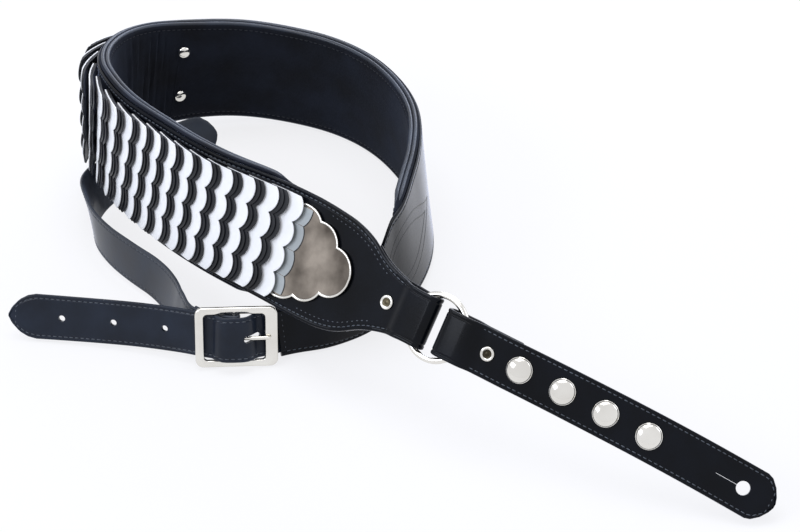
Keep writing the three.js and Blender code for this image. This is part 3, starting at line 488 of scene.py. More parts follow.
def cut(made, tools):
    """Cuts holes with one tool after another, and leaves a plain mesh."""
    for shape in tools:
        tool = piece(made.name + "_cutter", *shape, made.data.materials[0], body=None)
        step = made.modifiers.new("holes", "BOOLEAN")
        step.operation, step.solver, step.object = "DIFFERENCE", "EXACT", tool
        bpy.context.view_layer.update()
        seen = made.evaluated_get(bpy.context.evaluated_depsgraph_get())
        holed = bpy.data.meshes.new_from_object(seen)
        made.modifiers.clear()
        made.data = holed
        holed.shade_smooth()
        holed.set_sharp_from_angle(angle=radians(SHARP_EDGE))
        bpy.data.objects.remove(tool)


def along_line(way, line, step):
    """Even places along a line of s and v on a face."""
    line = np.array(line, float)
    spots = np.array([way.point(s, v, 0) for s, v in line])
    gone = np.concatenate([[0], np.cumsum(np.linalg.norm(np.diff(spots, axis=0), axis=1))])
    at = np.arange(step / 2, gone[-1], step)
    return zip(np.interp(at, gone, line[:, 0]), np.interp(at, gone, line[:, 1]))


def line_direction(line, s, v):
    """The direction of the part of a line nearest to a place."""
    line = np.array(line, float)
    i = int(np.argmin(np.hypot(line[:, 0] - s, line[:, 1] - v)))
    a, b = line[max(i - 1, 0)], line[min(i + 1, len(line) - 1)]
    return (b - a) / max(np.hypot(*(b - a)), 1e-6)


def line_frame(way, line, s, v, high, sign):
    """A place on a line on a face, with the ways along the line, beside it and out."""
    near = line_direction(line, s, v)
    n = high(s) if callable(high) else high
    a, b = way.point(s - near[0], v - near[1], n), way.point(s + near[0], v + near[1], n)
    along = unit(b - a)
    out = way.axes(round(float(s), 4))[2] * sign
    return (a + b) / 2, along, unit(np.cross(along, out)), out


def stitches(name, way, lines, high, body="strap", sign=1, made_of=None):
    """Rows of single thread stitches, each a small round-ended loop sunk at both ends."""
    thick = STITCH.thick
    shapes = []
    for line in lines:
        for s, v in along_line(way, line, STITCH.pitch):
            centre, along, aside, out = line_frame(way, line, s, v, high, sign)
            shapes.append(skin([[centre + along * x * STITCH.long + aside * thick * r * cos(a)
                                 + out * thick * (r * sin(a) + lift) for a in circle(6)]
                                for x, r, lift in STITCH.rows]))
    piece(name, *merge(shapes), made_of or thread, body, slot="leather", sharp=180)


def pressed_line(line, high, width, tall, sign=1):
    """A fine rounded line on the body's face or back, such as a crease."""
    rings = []
    for s, v in line:
        centre, _, aside, out = line_frame(main, line, s, v, high, sign)
        rings.append([centre + aside * x * width / 2 + out * y * tall
                      for x, y in ((-1, -0.6), (-0.7, 0.6), (0, 1), (0.7, 0.6), (1, -0.6))])
    return skin(rings)


# ---- materials

def linear(hex_colour):
    """An sRGB hex colour as linear light."""
    parts = [int(hex_colour[i:i + 2], 16) / 255 for i in (1, 3, 5)]
    return [p / 12.92 if p <= 0.04045 else ((p + 0.055) / 1.055) ** 2.4 for p in parts] + [1]


def per_mm(size):
    """The scale of a pattern whose repeat is this many millimetres."""
    return 1 / (size * MM)


def add(tree, kind, values=(), links=(), **settings):
    """Adds a shader node with its settings, plain values and links."""
    made = tree.nodes.new("ShaderNode" + kind)
    for name, value in settings.items():
        setattr(made, name, value)
    for name, value in dict(values).items():
        made.inputs[name].default_value = value
    for name, (source, output) in dict(links).items():
        tree.links.new(source.outputs[output], made.inputs[name])
    return made


def blank_tree(owner):
    owner.use_nodes = True
    owner.node_tree.nodes.clear()
    return owner.node_tree


# How far apart the mottled patches of every material lie, in millimetres
MOTTLE = 28


def surface(name, colours, roughness, relief, strength, depth, **values):
    """A material of two close colours, mottled, a range of roughness, and a relief that is
    one texture or the sum of two."""
    material = bpy.data.materials.new(name)
    tree = blank_tree(material)
    place = {"Vector": (add(tree, "TexCoord"), "Object")}
    mottle = add(tree, "TexNoise", {"Scale": per_mm(MOTTLE), "Detail": 6.0}, place)
    tint = add(tree, "ValToRGB", links={"Fac": (mottle, "Fac")})
    for stop, spot, colour in zip(tint.color_ramp.elements, (0.35, 0.65), colours):
        stop.position, stop.color = spot, linear(colour)
    rough = add(tree, "MapRange", {"From Min": 0.3, "From Max": 0.7,
                                   "To Min": roughness[0], "To Max": roughness[1]},
                {"Value": (mottle, "Fac")})
    heights = [(add(tree, kind, inputs, place, **settings), output)
               for kind, output, inputs, settings in relief]
    if len(heights) > 1:
        both = add(tree, "Math", links=enumerate(heights), operation="ADD")
        heights = [(both, "Value")]
    bump = add(tree, "Bump", {"Strength": strength, "Distance": depth * MM},
               {"Height": heights[0]})
    shader = add(tree, "BsdfPrincipled", values,
                 {"Base Color": (tint, "Color"), "Roughness": (rough, "Result"),
                  "Normal": (bump, "Normal")})
    add(tree, "OutputMaterial", links={"Surface": (shader, "BSDF")})
    return material


def finished_leather(name, colours, roughness, grain, depth, level, film=0):
    """Finished leather: a closed pebbled grain over fine pores, with a soft gloss and a
    thin smooth film of wax that shines at a flat angle."""
    pebble = ("TexVoronoi", "Distance", {"Scale": per_mm(grain)}, {"feature": "SMOOTH_F1"})
    pores = ("TexNoise", "Fac", {"Scale": per_mm(grain * 2.6), "Detail": 5.0}, {})
    return surface(name, colours, roughness, (pebble, pores), 0.6, depth,
                   **{"Specular IOR Level": level, "Coat Weight": film, "Coat Roughness": 0.12,
                      "Coat IOR": 1.17, "Sheen Weight": film * 0.6, "Sheen Roughness": 0.2,
                      "Sheen Tint": linear("#b6c3e8")})


def polished_metal(name, colours, roughness, wave):
    """Polished metal: a polish that varies and a faint waviness break up reflections."""
    waves = ("TexNoise", "Fac", {"Scale": per_mm(6), "Detail": 2.0}, {})
    return surface(name, colours, roughness, (waves,), 0.5, wave, Metallic=1.0)


# Bridle-weight black leather, drum dyed and lightly waxed: near black in the shade and a
# bluish grey where it takes the light. The grain is drawn coarser than the real 0.5 mm.
black_leather = finished_leather("finished_black_leather", ("#05070c", "#0a0e16"),
                                 (0.27, 0.38), 1.5, 0.05, 0.05, 1.0)
# The billet's leather is the same black, painted a bluer, greyer cast: a painted sheen that
# stands for the light its face takes.
billet_painted_sheen_leather = finished_leather("black_leather_painted_sheen", ("#131924", "#1e2634"),
                                 (0.3, 0.42), 1.5, 0.05, 0.14, 1.0)
# The same leather seen from the flesh side, buffed and dyed: duller, and painted a lighter, bluer
# grey as a painted sheen for the grazing light it takes.
flesh_painted_sheen_leather = finished_leather("flesh_side_with_painted_sheen", ("#1b212c", "#2a323f"),
                                 (0.42, 0.56), 1.1, 0.06, 0.4, 0.8)
# White coated leather, film finished: an even cool white with a satin sheen.
white_leather = finished_leather("coated_white_leather", ("#eef0f4", "#f5f6f8"),
                                 (0.36, 0.46), 1.3, 0.02, 0.4)
# Black leather of the scale underlays, cut and edge dyed: edges catch a grey light.
scale_leather = finished_leather("dyed_underlay_leather", ("#0b0d12", "#171a21"),
                                 (0.36, 0.5), 1.2, 0.03, 0.3, 0.3)

# Brushed suede: no gloss, a fine nap that goes lighter where it is stroked.
nap = ("TexNoise", "Fac", {"Scale": per_mm(0.9), "Detail": 6.0}, {})
stroked = ("TexNoise", "Fac", {"Scale": per_mm(9), "Detail": 3.0, "Distortion": 1.2}, {})
suede = surface("brushed_suede", ("#0b0d13", "#1a1e28"), (0.88, 0.98), (nap, stroked), 0.7, 0.25,
                **{"Specular IOR Level": 0.2, "Sheen Weight": 0.3, "Sheen Roughness": 0.5,
                   "Sheen Tint": linear("#4c566c")})

# Nickel plating over brass, buffed: warm white with sharp reflections.
nickel = polished_metal("buffed_nickel_plate", ("#d8d5ce", "#e6e4de"), (0.08, 0.16), 0.02)
# Nickel silver sheet, polished and slightly tarnished: a brownish grey mirror.
plate_metal = polished_metal("tarnished_nickel_silver", ("#5a544e", "#a1988e"),
                             (0.1, 0.22), 0.09)
# The same sheet left matt by the engraver: pale grey.
engraved = polished_metal("matt_engraved_metal", ("#969b9e", "#adb3b6"), (0.6, 0.7), 0.02)
# Blackened engraving line: dull, and nearly black.
line_black = finished_leather("blackened_line", ("#1a1a1c", "#232326"), (0.5, 0.6), 1, 0.01, 0.3)
# Old brass in the eyelet's cup: dark and dull.
brass = polished_metal("dull_brass", ("#2b2720", "#57503f"), (0.25, 0.4), 0.1)
# Bonded nylon thread, waxed: a dark blue grey that stands off the black by its glint.
thread = finished_leather("waxed_dark_thread", ("#353b45", "#4d545f"), (0.35, 0.5), 0.8,
                          0.05, 0.5)
# The lining's thread is dyed with it and stays nearly as dark.
lining_thread = finished_leather("waxed_black_thread", ("#1a1e26", "#262b35"), (0.4, 0.55), 0.8,
                                 0.05, 0.4)
# Skived piping leather, rolled over the edge and rubbed: smoother than the suede, and painted
# bluer and lighter as a painted highlight along the rolled edges.
piping_painted_highlight_leather = finished_leather("rolled_edge_painted_highlight", ("#191f2a", "#2c3544"),
                                  (0.3, 0.42), 1.2, 0.04, 0.4, 0.6)

# ---- body leather and lining

def billet_rise(s):
    """The height of the billet's face over the back of the strap."""
    sewn = (LEATHER_BACK - 2 * GAP) * (1 - smooth(s, *BILLET.ramp))
    down = smooth(abs(s - BUCKLE.place), *BILLET.over)
    over = BAR_HIGH + BAR_RADIUS + BUCKLE.prong + 3 * GAP + BILLET.leather
    return sewn + over * (1 - down)


def face_middle(s):
    """The height of the middle of the face leather, which follows the billet at its end."""
    return LEATHER_MIDDLE + min(billet_rise(max(s, BILLET.ramp[0])) - LEATHER_BACK + 2 * GAP, 0)


def body_shape():
    path = ring_fold(BODY.leather, RING_HIGH, LEATHER_MIDDLE, BODY.fold_back)
    path += [(s, face_middle(s)) for s in stations(FOLD_MEET, BODY.face_end, 2.5)[1:]]
    return strip(main, path, strip_section(BODY.leather, 3.0, 0.45), leather_half)


PLATES = (("front", PLATE.front, 1), ("rear", PLATE.rear, -1))
SCREWS = [(name, row, place + way * PLATE.screw_reach, aside * PLATE.screw_aside)
          for name, place, way in PLATES for row, aside in (("upper", 1), ("lower", -1))]
RIVET_HOLE, SCREW_HOLE = RIVET.shank + 2 * GAP, PLATE.shank + 2 * GAP

body_leather = piece("body_leather", *body_shape(), black_leather,
                     stands_for=["face_leather"], slot="leather")
cut(body_leather, [merge([cutter(main, at, 0, RIVET_HOLE) for at in (RIVET.body, RIVET.far)]
                         + [cutter(main, s, v, SCREW_HOLE) for _, _, s, v in SCREWS])])


def pad_share(s):
    near = smooth(s, BODY.pad_start, BODY.pad_start + BODY.pad_ramp)
    far = smooth(BODY.pad_end - s, 0, BODY.pad_ramp)
    return mix(PAD_PINCH, 1, min(near, far))


def lining_section():
    """A padded back that pulls in at its seams, and an edge rolled over beside the face."""
    half = BODY_HALF + LINING.proud
    right = [*LINING_BACK, *((half - inset, n) for inset, n in LINING_EDGE)]
    return [(0, 0), *right, (0, LINING.front), *((-v, n) for v, n in right[::-1])]


def lining_shape():
    section = lining_section()
    rings = []
    places = stations(BODY.pad_start, BODY.pad_end, 2)
    for s in places:
        end = min(s - places[0], places[-1] - s)
        fade = 0.6 + 0.4 * smooth(end, 0, LINING.pinch)
        share = pad_share(s) * fade
        close = mix((leather_half(s) - 0.6) / BODY_HALF, 1, smooth(end, 0, LINING.narrow))
        rings.append([main.point(s, v * close, LINER_FRONT + (n - LINER_FRONT) * share
                                 - (wrinkle(s, v) if n < 0.2 and abs(v) < LINING.flat else 0))
                      for v, n in section])
    return skin(rings)


def wrinkle(s, v):
    """The lining's small gathers across the strap, where the padding bends hardest."""
    (start, end), fade = LINING.wrinkles, LINING.wrinkle_fade
    here = smooth(s, start, start + fade) * (1 - smooth(s, end - fade, end))
    return here * (0.6 * sin(s * 1.15 + 0.04 * v) + 0.3 * sin(s * 2.3 - 0.07 * v))


lining = piece("suede_lining", *lining_shape(), suede,
               stands_for=["padded_lining", "foam_padding"], slot="lining")
cut(lining, [merge([cutter(main, s, v, SCREW_HOLE) for _, _, s, v in SCREWS
                    if s > BODY.pad_start])])


def piping_shape(side):
    """Two slim rolls side by side along one edge of the lining."""
    rolls = []
    for beside, n, radius in PIPING:
        rings = []
        for s in stations(BODY.pad_start + 2, BODY.pad_end - 2, 3):
            share = pad_share(s)
            full = smooth(min(s - BODY.pad_start, BODY.pad_end - s), 0, LINING.narrow)
            size = radius * mix(0.25, 1, full) * mix(0.6, 1, share)
            edge = mix(leather_half(s) - 1.2, BODY_HALF + beside, full)
            rings.append([main.point(s, side * (edge - 0.55 * size + size * cos(a)),
                                     LINER_FRONT + (n - LINER_FRONT) * share + size * sin(a))
                          for a in circle(12)])
        rolls.append(skin(rings))
    return merge(rolls)


# The piping's lighter, bluer colour is a painted highlight along the lining's edges.
for side, edge_name in ((1, "upper"), (-1, "lower")):
    piece(f"edge_piping_{edge_name}", *piping_shape(side), piping_painted_highlight_leather, slot="leather")


def edge_lines(inset, start, end):
    """Two lines along the face, each this far inside an edge."""
    return [[(s, side * (leather_half(s) - inset)) for s in stations(start, end, 4)]
            for side in (1, -1)]


face_sewn = BODY.face_end - SEAM.face
stitches("face_stitching", main,
         [*edge_lines(SEAM.face, SEAM.face_start, face_sewn),
          [(face_sewn, v) for v in np.linspace(4 - NECK_HALF, NECK_HALF - 4, 9)],
          *edge_lines(SEAM.neck, *SEAM.neck_span)],
         lambda s: face_middle(s) + BODY.leather / 2 - STITCH.sunk)


def lining_back(s):
    """The height of the lining's back beside its seams."""
    return LINER_FRONT + (0.75 - LINER_FRONT) * pad_share(s)


stitches("lining_stitching", main,
         [[(s, side * (BODY_HALF - SEAM.lining)) for s in stations(*SEAM.lining_span, 4)]
          for side in (1, -1)], lining_back, sign=-1, made_of=lining_thread)

# The lining's cross seam, and the slanted crease beside it
seam, crease = CROSS_SEAM, SLANT_CREASE
across = [(seam.place + seam.lean * v, v) for v in np.linspace(-seam.half, seam.half, 23)]
slanted = [[mix(a, b, u) for a, b in zip(crease.start, crease.end)]
           for u in np.linspace(0, 1, 15)]
seams = [pressed_line(across, 0.02, seam.width, seam.high, -1),
         pressed_line(slanted, 0.0, crease.width, crease.high, -1)]
piece("lining_seams", *merge(seams), suede, slot="lining")


def teardrop(grow):
    """The pressed drop on the far part of the face, narrow towards the near end."""
    line = []
    tip, widest = DROP.tip - grow * 2.2, DROP.widest
    end, half = DROP.end + grow * 0.6, DROP.half + grow
    for u in np.linspace(0, 1, 25):
        line.append((mix(tip, widest, u), half * sin(u * pi / 2) ** 1.35))
    for a in np.linspace(0, pi / 2, 12)[1:]:
        line.append((widest + (end - widest) * sin(a), half * cos(a)))
    return line + mirrored(line)[1:]


piece("face_drop_line",
      *merge([pressed_line(teardrop(grow), LEATHER_FRONT, DROP.width, DROP.high)
              for grow in (0, DROP.outer)]), scale_leather, slot="leather")

# ---- scales

SCALE_HALF = SCALE.per_row * SCALE.width / 2
ARC_HALF = SCALE.width / 2
ARC_RADIUS = (ARC_HALF ** 2 + SCALE.bulge ** 2) / (2 * SCALE.bulge)
STACK_HIGH = 3 * SCALE.skin + 3 * GAP


def scallop(v):
    """How far a scallop's free edge runs out past its cusps."""
    aside = (v + SCALE_HALF) % SCALE.width - ARC_HALF
    return max(0, sqrt(ARC_RADIUS ** 2 - aside ** 2) - (ARC_RADIUS - SCALE.bulge))


def scale_layer(row, ahead, low, high, cup):
    """One layer of a row of scales: thin leather with a rounded free edge that lifts a little."""
    front = SCALE.first + row * SCALE.pitch
    reach_back = SCALE.pitch + SCALE.overlap
    flare = SCALE.flare * read_smooth(ROW_FLARE, row / (SCALE.rows - 1))
    rise = (STACK_HIGH + flare) / SCALE.pitch * (SCALE.first_rise if row == 0 else 1)
    droop = SCALE.second_droop if row == 1 else 0
    back = front + reach_back
    mid = (low + high) / 2
    top = [(0.12, high - 0.06), (0.45, high), (2, high), (5, high), (9, high), (14, high)]
    under = [(14, low), (7, low), (2, low), (0.3, low), (0.08, low + 0.12)]
    profile = [(0, mid + 0.12), *top, None, *under]
    rings = []
    for v in np.linspace(-SCALE_HALF, SCALE_HALF, SCALE.per_row * 14 + 1):
        edge = front - scallop(min(max(v, -SCALE_HALF + 1e-6), SCALE_HALF - 1e-6)) - ahead
        aside = ((v + SCALE_HALF) % SCALE.width) / ARC_HALF - 1
        ring = []
        for at in profile:
            if at is None:
                ring += [point_on_scale(v, back, back, rise, high),
                         point_on_scale(v, back, back, rise, low)]
                continue
            reach, layer = at
            s = edge + reach
            lift = cup * max(0, 1 - reach / 9) ** 2 * (1 - aside ** 2)
            lift -= droop * max(0, 1 - (s - front + SCALE.bulge + 6) / 24) ** 1.5
            ring.append(point_on_scale(v, s, back, rise, layer + lift))
        rings.append(ring)
    return skin(rings)


def point_on_scale(v, s, back, rise, layer):
    return main.point(s, v, LEATHER_FRONT + GAP + rise * (back - s) + layer)


white_low = 2 * SCALE.skin + GAP
for row in range(SCALE.rows):
    number = f"{row + 1:02d}"
    piece(f"white_scales_{number}",
          *scale_layer(row, 0, white_low, white_low + SCALE.skin, 0.25), white_leather,
          stands_for=[f"scale_row_{row + 1}"], slot="white")
    step = SCALE.step if row else -SCALE.step * 1.7
    piece(f"dark_scales_{number}",
          *merge([scale_layer(row, step, SCALE.skin + 0.04, 2 * SCALE.skin, 0.12),
                  scale_layer(row, 2 * step, 0, SCALE.skin - 0.04, 0.05)]),
          scale_leather, stands_for=[f"scale_underlay_{row + 1}"], slot="leather")

# ---- plates

PLATE_LOW = LEATHER_FRONT + 2 * GAP
PLATE_HIGH = PLATE_LOW + PLATE.thick


def crossing(a, b):
    """The outer place where two circles meet."""
    (x0, y0, r0), (x1, y1, r1) = a, b
    reach = hypot(x1 - x0, y1 - y0)
    along = (reach ** 2 + r0 ** 2 - r1 ** 2) / (2 * reach)
    aside = sqrt(r0 ** 2 - along ** 2)
    dx, dy = (x1 - x0) / reach, (y1 - y0) / reach
    return x0 + dx * along - dy * aside, y0 + dy * along + dx * aside


def cloud_side(inset):
    """One side of the cloud outline as reach and half width."""
    steps = 18
    lobes = [(x, y, r - inset) for x, y, r in PLATE.lobes]
    meets = [crossing(lobes[0], lobes[1]), crossing(lobes[1], lobes[2])]
    end = PLATE.length - inset
    flat = acos((end - lobes[2][0]) / lobes[2][2])
    side = []
    for i, (x, y, radius) in enumerate(lobes):
        turn = [atan2(m[1] - y, m[0] - x) % (2 * pi) for m in meets]
        start = turn[i - 1] if i else pi - radians(PLATE.tip_degrees)
        stop = turn[i] if i < 2 else flat
        for k in range(1 if i else 0, steps + 1):
            angle = mix(start, stop, k / steps)
            side.append((x + radius * cos(angle), y + radius * sin(angle)))
    return side


def plate_piece(name, place, way, node):
    """A cut and polished plate: rounded raised rim and a lower field."""
    levels = ((0.15, PLATE_LOW), (0, PLATE_LOW + 0.2),
              *((inset, PLATE_HIGH + high) for inset, high in PLATE_RIM))
    flat = bmesh.new()
    rings = []
    for inset, high in levels:
        side = cloud_side(inset)
        rings.append([flat.verts.new((x, y, high)) for x, y in side + mirrored(side)])
    for low, high in zip(rings, rings[1:]):
        for j in range(len(low)):
            k = (j + 1) % len(low)
            flat.faces.new((low[j], low[k], high[k], high[j]))
    flat.faces.new(rings[0][::-1])
    flat.faces.new(rings[-1])
    for axis, spots in ((0, np.arange(4, 72, 4)), (1, np.arange(-30, 31, 6))):
        for spot in spots:
            where, normal = [0, 0, 0], [0, 0, 0]
            where[axis], normal[axis] = float(spot), 1
            bmesh.ops.bisect_plane(flat, geom=flat.verts[:] + flat.edges[:] + flat.faces[:],
                                   plane_co=where, plane_no=normal)
    flat.verts.index_update()
    points = [main.point(place + way * p.co.x, p.co.y, p.co.z) for p in flat.verts]
    levels_at = [p.co.z for p in flat.verts]
    faces = [[p.index for p in face.verts] for face in flat.faces]
    flat.free()
    made = piece(name, points, faces, plate_metal, stands_for=[node], slot="plate", sharp=30)
    # The raised rim takes the brighter nickel as a painted highlight; the field keeps the darker
    # metal.
    made.data.materials.append(nickel)
    for face, corners in zip(made.data.polygons, faces):
        heights = [levels_at[i] for i in corners]
        face.material_index = int(max(heights) > PLATE_HIGH + 0.3 and len(corners) < 9)


def field_half(reach):
    """Half the width of a plate's field at a place along it."""
    side = cloud_side(2.0)
    return max((y for x, y in side if abs(x - reach) < 2.5), default=0) - 0.6


def scallop_edge(v):
    """How far along a plate its engraved scallops start."""
    return PLATE.scallops - PLATE.scallop_share * scallop(v)


def engraving(place, way):
    """The matt scallops and their dark lines at the plate's flat end."""
    shapes = []
    for lobe in range(SCALE.per_row):
        low = -SCALE_HALF + lobe * SCALE.width + 0.15
        rings = []
        for v in np.linspace(low, low + SCALE.width - 0.3, 15):
            reach = scallop_edge(v)
            limit = field_half(reach + 3)
            v = min(max(v, -limit), limit)
            rings.append([main.point(place + way * mix(reach, PLATE.scallops_end, u), v,
                                     PLATE_HIGH + n)
                          for u, n in ((0, 0.01), (0, 0.07), (0.35, 0.07), (0.7, 0.07),
                                       (1, 0.07), (1, -0.2), (0.5, -0.2))])
        shapes.append(skin(rings))
    line = [(place + way * (scallop_edge(v) - 0.25), v)
            for v in np.linspace(-SCALE_HALF + 0.01, SCALE_HALF - 0.01, 61)
            if abs(v) < field_half(scallop_edge(v))]
    return merge(shapes), pressed_line(line, PLATE_HIGH + 0.05, 0.9, 0.08)


for name, place, way in PLATES:
    plate_piece(f"cloud_plate_{name}", place, way, f"{name}_plate")
    field, line = engraving(place, way)
    piece(f"plate_scallops_{name}", *field, engraved, slot="plate")
    piece(f"plate_lines_{name}", *line, line_black, slot="plate")

for name, row, s, v in SCREWS:
    back = 0 if s > BODY.pad_start else LEATHER_BACK
    seat = back - 2 * GAP
    head = [(PLATE.head / 2 * cos(a), seat - PLATE.head_high * sin(a))
            for a in np.linspace(pi / 2, 0, 10)]
    profile = [*head, (PLATE.head / 2, seat + 0.05), (PLATE.shank / 2, seat + 0.05),
               (PLATE.shank / 2, LEATHER_FRONT), (0, LEATHER_FRONT)]
    piece(f"screw_head_{name}_{row}", *turned(main, s, v, profile), nickel,
          stands_for=[f"plate_screw_{name}_{row}"], slot="nickel")

# ---- ring, rivets and studs

ring_axes = np.column_stack([ring_along, fold_axes[1], np.cross(ring_along, fold_axes[1])])
hoop = [[ring_centre + ring_axes @ ((RING_RADIUS + WIRE * cos(b)) * cos(a),
                                    (RING_RADIUS + WIRE * cos(b)) * sin(a),
                                    WIRE * sin(b))
         for b in circle(20)]
        for a in circle(96)]
piece("nickel_ring", *skin(hoop, closed=True), nickel, "ring", ["near_ring"], "nickel")


def rivet(name, way, s, low, high, body, node):
    """An eyelet rivet: a rolled nickel rim round a dull brass cup, and a domed back."""
    half, shank = RIVET.width / 2, RIVET.shank / 2
    under, over = low - GAP - 0.15, high + GAP + 0.15
    roll = [(half - 0.9 + 0.9 * cos(a), over + 0.15 + 0.75 * sin(a))
            for a in np.linspace(0, pi, 10)]
    profile = [(0, under - RIVET.height), (half - 1.4, under - RIVET.height),
               (half - 0.5, under - 0.6), (half, under - 0.25), (half, under), (shank, under),
               (shank, over), (half, over), *roll, (half - 2.2, over + 0.1), (0, over + 0.1)]
    piece(name, *turned(way, s, 0, profile, 48), nickel, body, [node], "nickel")
    cup = [(0, over + 0.12), (half - 1.95, over + 0.12), (half - 1.9, over + 0.42),
           (half - 2.3, over + 0.38), (1.3, over + 0.2), (0.9, over + 0.34), (0, over + 0.4)]
    piece(name + "_cup", *turned(way, s, 0, cup, 32), brass, body, slot="nickel")


back_layer = RING_HIGH - GAP / 2 - BODY.leather
rivet("neck_eyelet", main, RIVET.body, back_layer, LEATHER_FRONT, "strap", "body_rivet")
tail_high = TAIL_LAYER + TAIL.leather / 2
rivet("tail_eyelet", tail_way, TAIL.rivet, -tail_high, tail_high, "tail", "tail_rivet")
billet_back = LEATHER_BACK - 2 * GAP - BILLET.leather
rivet("far_eyelet", main, RIVET.far, billet_back, LEATHER_FRONT, "strap", "far_rivet")

half, base, low = STUD.width / 2, tail_high + GAP + 0.15, -GAP / 2
stud_profile = [(0, low - STUD.skirt), (half / 2, low - STUD.skirt), (half / 2, low),
                (STUD.shank / 2, low), (STUD.shank / 2, base), (half - 0.2, base),
                (half, base + 0.2), (half, base + 0.55), (half - 0.25, base + STUD.skirt),
                *dome(half - 0.35, base + STUD.skirt, base + STUD.height)]
for i, place in enumerate(TAIL_STUDS, 1):
    piece(f"domed_stud_{i}", *turned(tail_way, place, 0, stud_profile, 56), nickel, "tail",
          [f"tail_stud_{i}"], "nickel")

# ---- tail

tail_half = tip_half(BLUNT_TIP, STRAP_HALF, TAIL_END, TAIL.tip)


def tail_shape():
    path = ring_fold(TAIL.leather, 0, TAIL_LAYER, TAIL.fold_back)
    path += straight_path(FOLD_MEET, TAIL_END, TAIL.tip, TAIL_LAYER, 3)[1:]
    return strip(tail_way, path, strip_section(TAIL.leather, 2.6, 0.4), tail_half)


tail_leather = piece("tail_strap", *tail_shape(), black_leather, "tail", ["tail_leather"],
                     "leather")
cut(tail_leather, [cutter(tail_way, TAIL.rivet, 0, RIVET_HOLE),
                   *button_hole(tail_way, TAIL.to_hole, TAIL.hole, TAIL.slit),
                   *[cutter(tail_way, place, 0, STUD.shank + 2 * GAP)
                     for place in TAIL_STUDS]])


def round_line(half_at, start, end, tip):
    """A seam inside a strap's edge, round its tip and back."""
    inset = SEAM.strap
    side = [(s, half_at(s) - inset) for s in stations(start, end - tip, 4)]
    for share in (0.85, 0.7, 0.55, 0.42, 0.32, 0.26):
        s = end - share * tip
        side.append((s, max(half_at(s) - inset, 0)))
    side = [(s, v) for s, v in side if s < end - inset]
    return side + mirrored(side)


stitches("tail_stitching", tail_way,
         [round_line(tail_half, SEAM.tail_start, TAIL_END, TAIL.tip)],
         tail_high - STITCH.sunk, "tail")

# ---- billet

billet_half = tip_half(LONG_TIP, STRAP_HALF, BILLET.end, BILLET.tip)


def billet_shape():
    places = straight_path(BILLET.start, BILLET.end, BILLET.tip, BILLET.leather / 2, 2.5)
    path = [(s, billet_rise(s) - n) for s, n in places]
    return strip(main, path, strip_section(BILLET.leather, 2.6, 0.4), billet_half)


# The billet's lighter, bluer leather colour is a painted sheen.
billet = piece("billet_strap", *billet_shape(), billet_painted_sheen_leather, stands_for=["billet"],
               slot="leather")
prong_place = BUCKLE.place - BILLET.prong_hole - BILLET.prong_slot / 2
cut(billet, [cutter(main, RIVET.far, 0, RIVET_HOLE),
             cutter(main, prong_place, 0, PRONG_SLOT, BILLET.prong_slot),
             *[cutter(main, BILLET.first + i * BILLET.pitch, 0, BILLET.hole)
               for i in range(BILLET.holes)]])
stitches("billet_stitching", main,
         [round_line(billet_half, SEAM.billet_start, BILLET.end, BILLET.tip)],
         lambda s: billet_rise(s) - STITCH.sunk)

# ---- buckle

bar_axes_matrix, bar_origin = main.frame(BUCKLE.place, 0, 0)


def on_bar(points):
    return [bar_origin + bar_axes_matrix @ point for point in points]


def rounded_loop(low, high, half, corner, n):
    """A rectangle with round corners, low to high along and half to each side."""
    steps = 8
    loop = []
    for x, y, quarter in ((high - corner, half - corner, 0), (low + corner, half - corner, 1),
                          (low + corner, corner - half, 2), (high - corner, corner - half, 3)):
        for i in range(steps + 1):
            a = (quarter + i / steps) * pi / 2
            loop.append((x + corner * cos(a), y + corner * sin(a), n))
    return loop


def buckle_shape():
    low, high = -WINDOW_HALF - BUCKLE.body_bar, WINDOW_HALF + BUCKLE.tip_bar
    half, corner, inner = BUCKLE.height / 2, BUCKLE.corner, BUCKLE.inner_corner
    outer_levels = ((0.35, FRAME_BACK), (0.1, FRAME_BACK + 0.1), (0, FRAME_BACK + 0.4),
                    (0, FRAME_FRONT - 1.1), (0.12, FRAME_FRONT - 0.65), (0.4, FRAME_FRONT - 0.3),
                    (0.8, FRAME_FRONT - 0.08), (1.3, FRAME_FRONT))
    inner_levels = ((0.9, FRAME_FRONT), (0.5, FRAME_FRONT - 0.1), (0.2, FRAME_FRONT - 0.35),
                    (0, FRAME_FRONT - 0.8), (0, FRAME_BACK + 0.3), (0.3, FRAME_BACK))
    rings = [on_bar(rounded_loop(low + i, high - i, half - i, corner - i, n))
             for i, n in outer_levels]
    rings += [on_bar(rounded_loop(-WINDOW_HALF - i, WINDOW_HALF + i,
                                  half - BUCKLE.rail + i, inner + i, n))
              for i, n in inner_levels]
    bar = []
    length = (BUCKLE.height - BUCKLE.rail) / 2
    for y in np.linspace(-length, length, 5):
        bar.append(on_bar([(BAR_RADIUS * cos(a), y, BAR_HIGH + BAR_RADIUS * sin(a))
                           for a in circle(24)]))
    return merge([skin(rings, closed=True), skin(bar)])


piece("cast_buckle", *buckle_shape(), nickel, stands_for=["buckle_frame"], slot="nickel")

HOOK = BAR_RADIUS + GAP + BUCKLE.prong / 2


def prong_shape():
    path = [(HOOK * cos(a), BAR_HIGH + HOOK * sin(a))
            for a in np.radians(np.linspace(-160, 90, 22))]
    end = FRAME_FRONT + GAP + BUCKLE.prong / 2
    path += [(x, mix(path[-1][1], end, -x / BUCKLE.reach))
             for x in np.linspace(-1, -BUCKLE.reach, 12)]
    rings = []
    for i, ((x, z), (dx, dz)) in enumerate(with_directions(path)):
        left = len(path) - 1 - i
        radius = BUCKLE.prong / 2 * (0.55, 0.85, 0.97, 1)[min(left, 3)]
        rings.append(on_bar([(x - dz * radius * sin(a), radius * cos(a),
                              z + dx * radius * sin(a))
                             for a in circle(16)]))
    return skin(rings)


piece("buckle_pin", *prong_shape(), nickel, "prong", ["buckle_prong"], "nickel")


tab_half = tip_half(BLUNT_TIP, STRAP_HALF, TAB.length, TAB.tip)


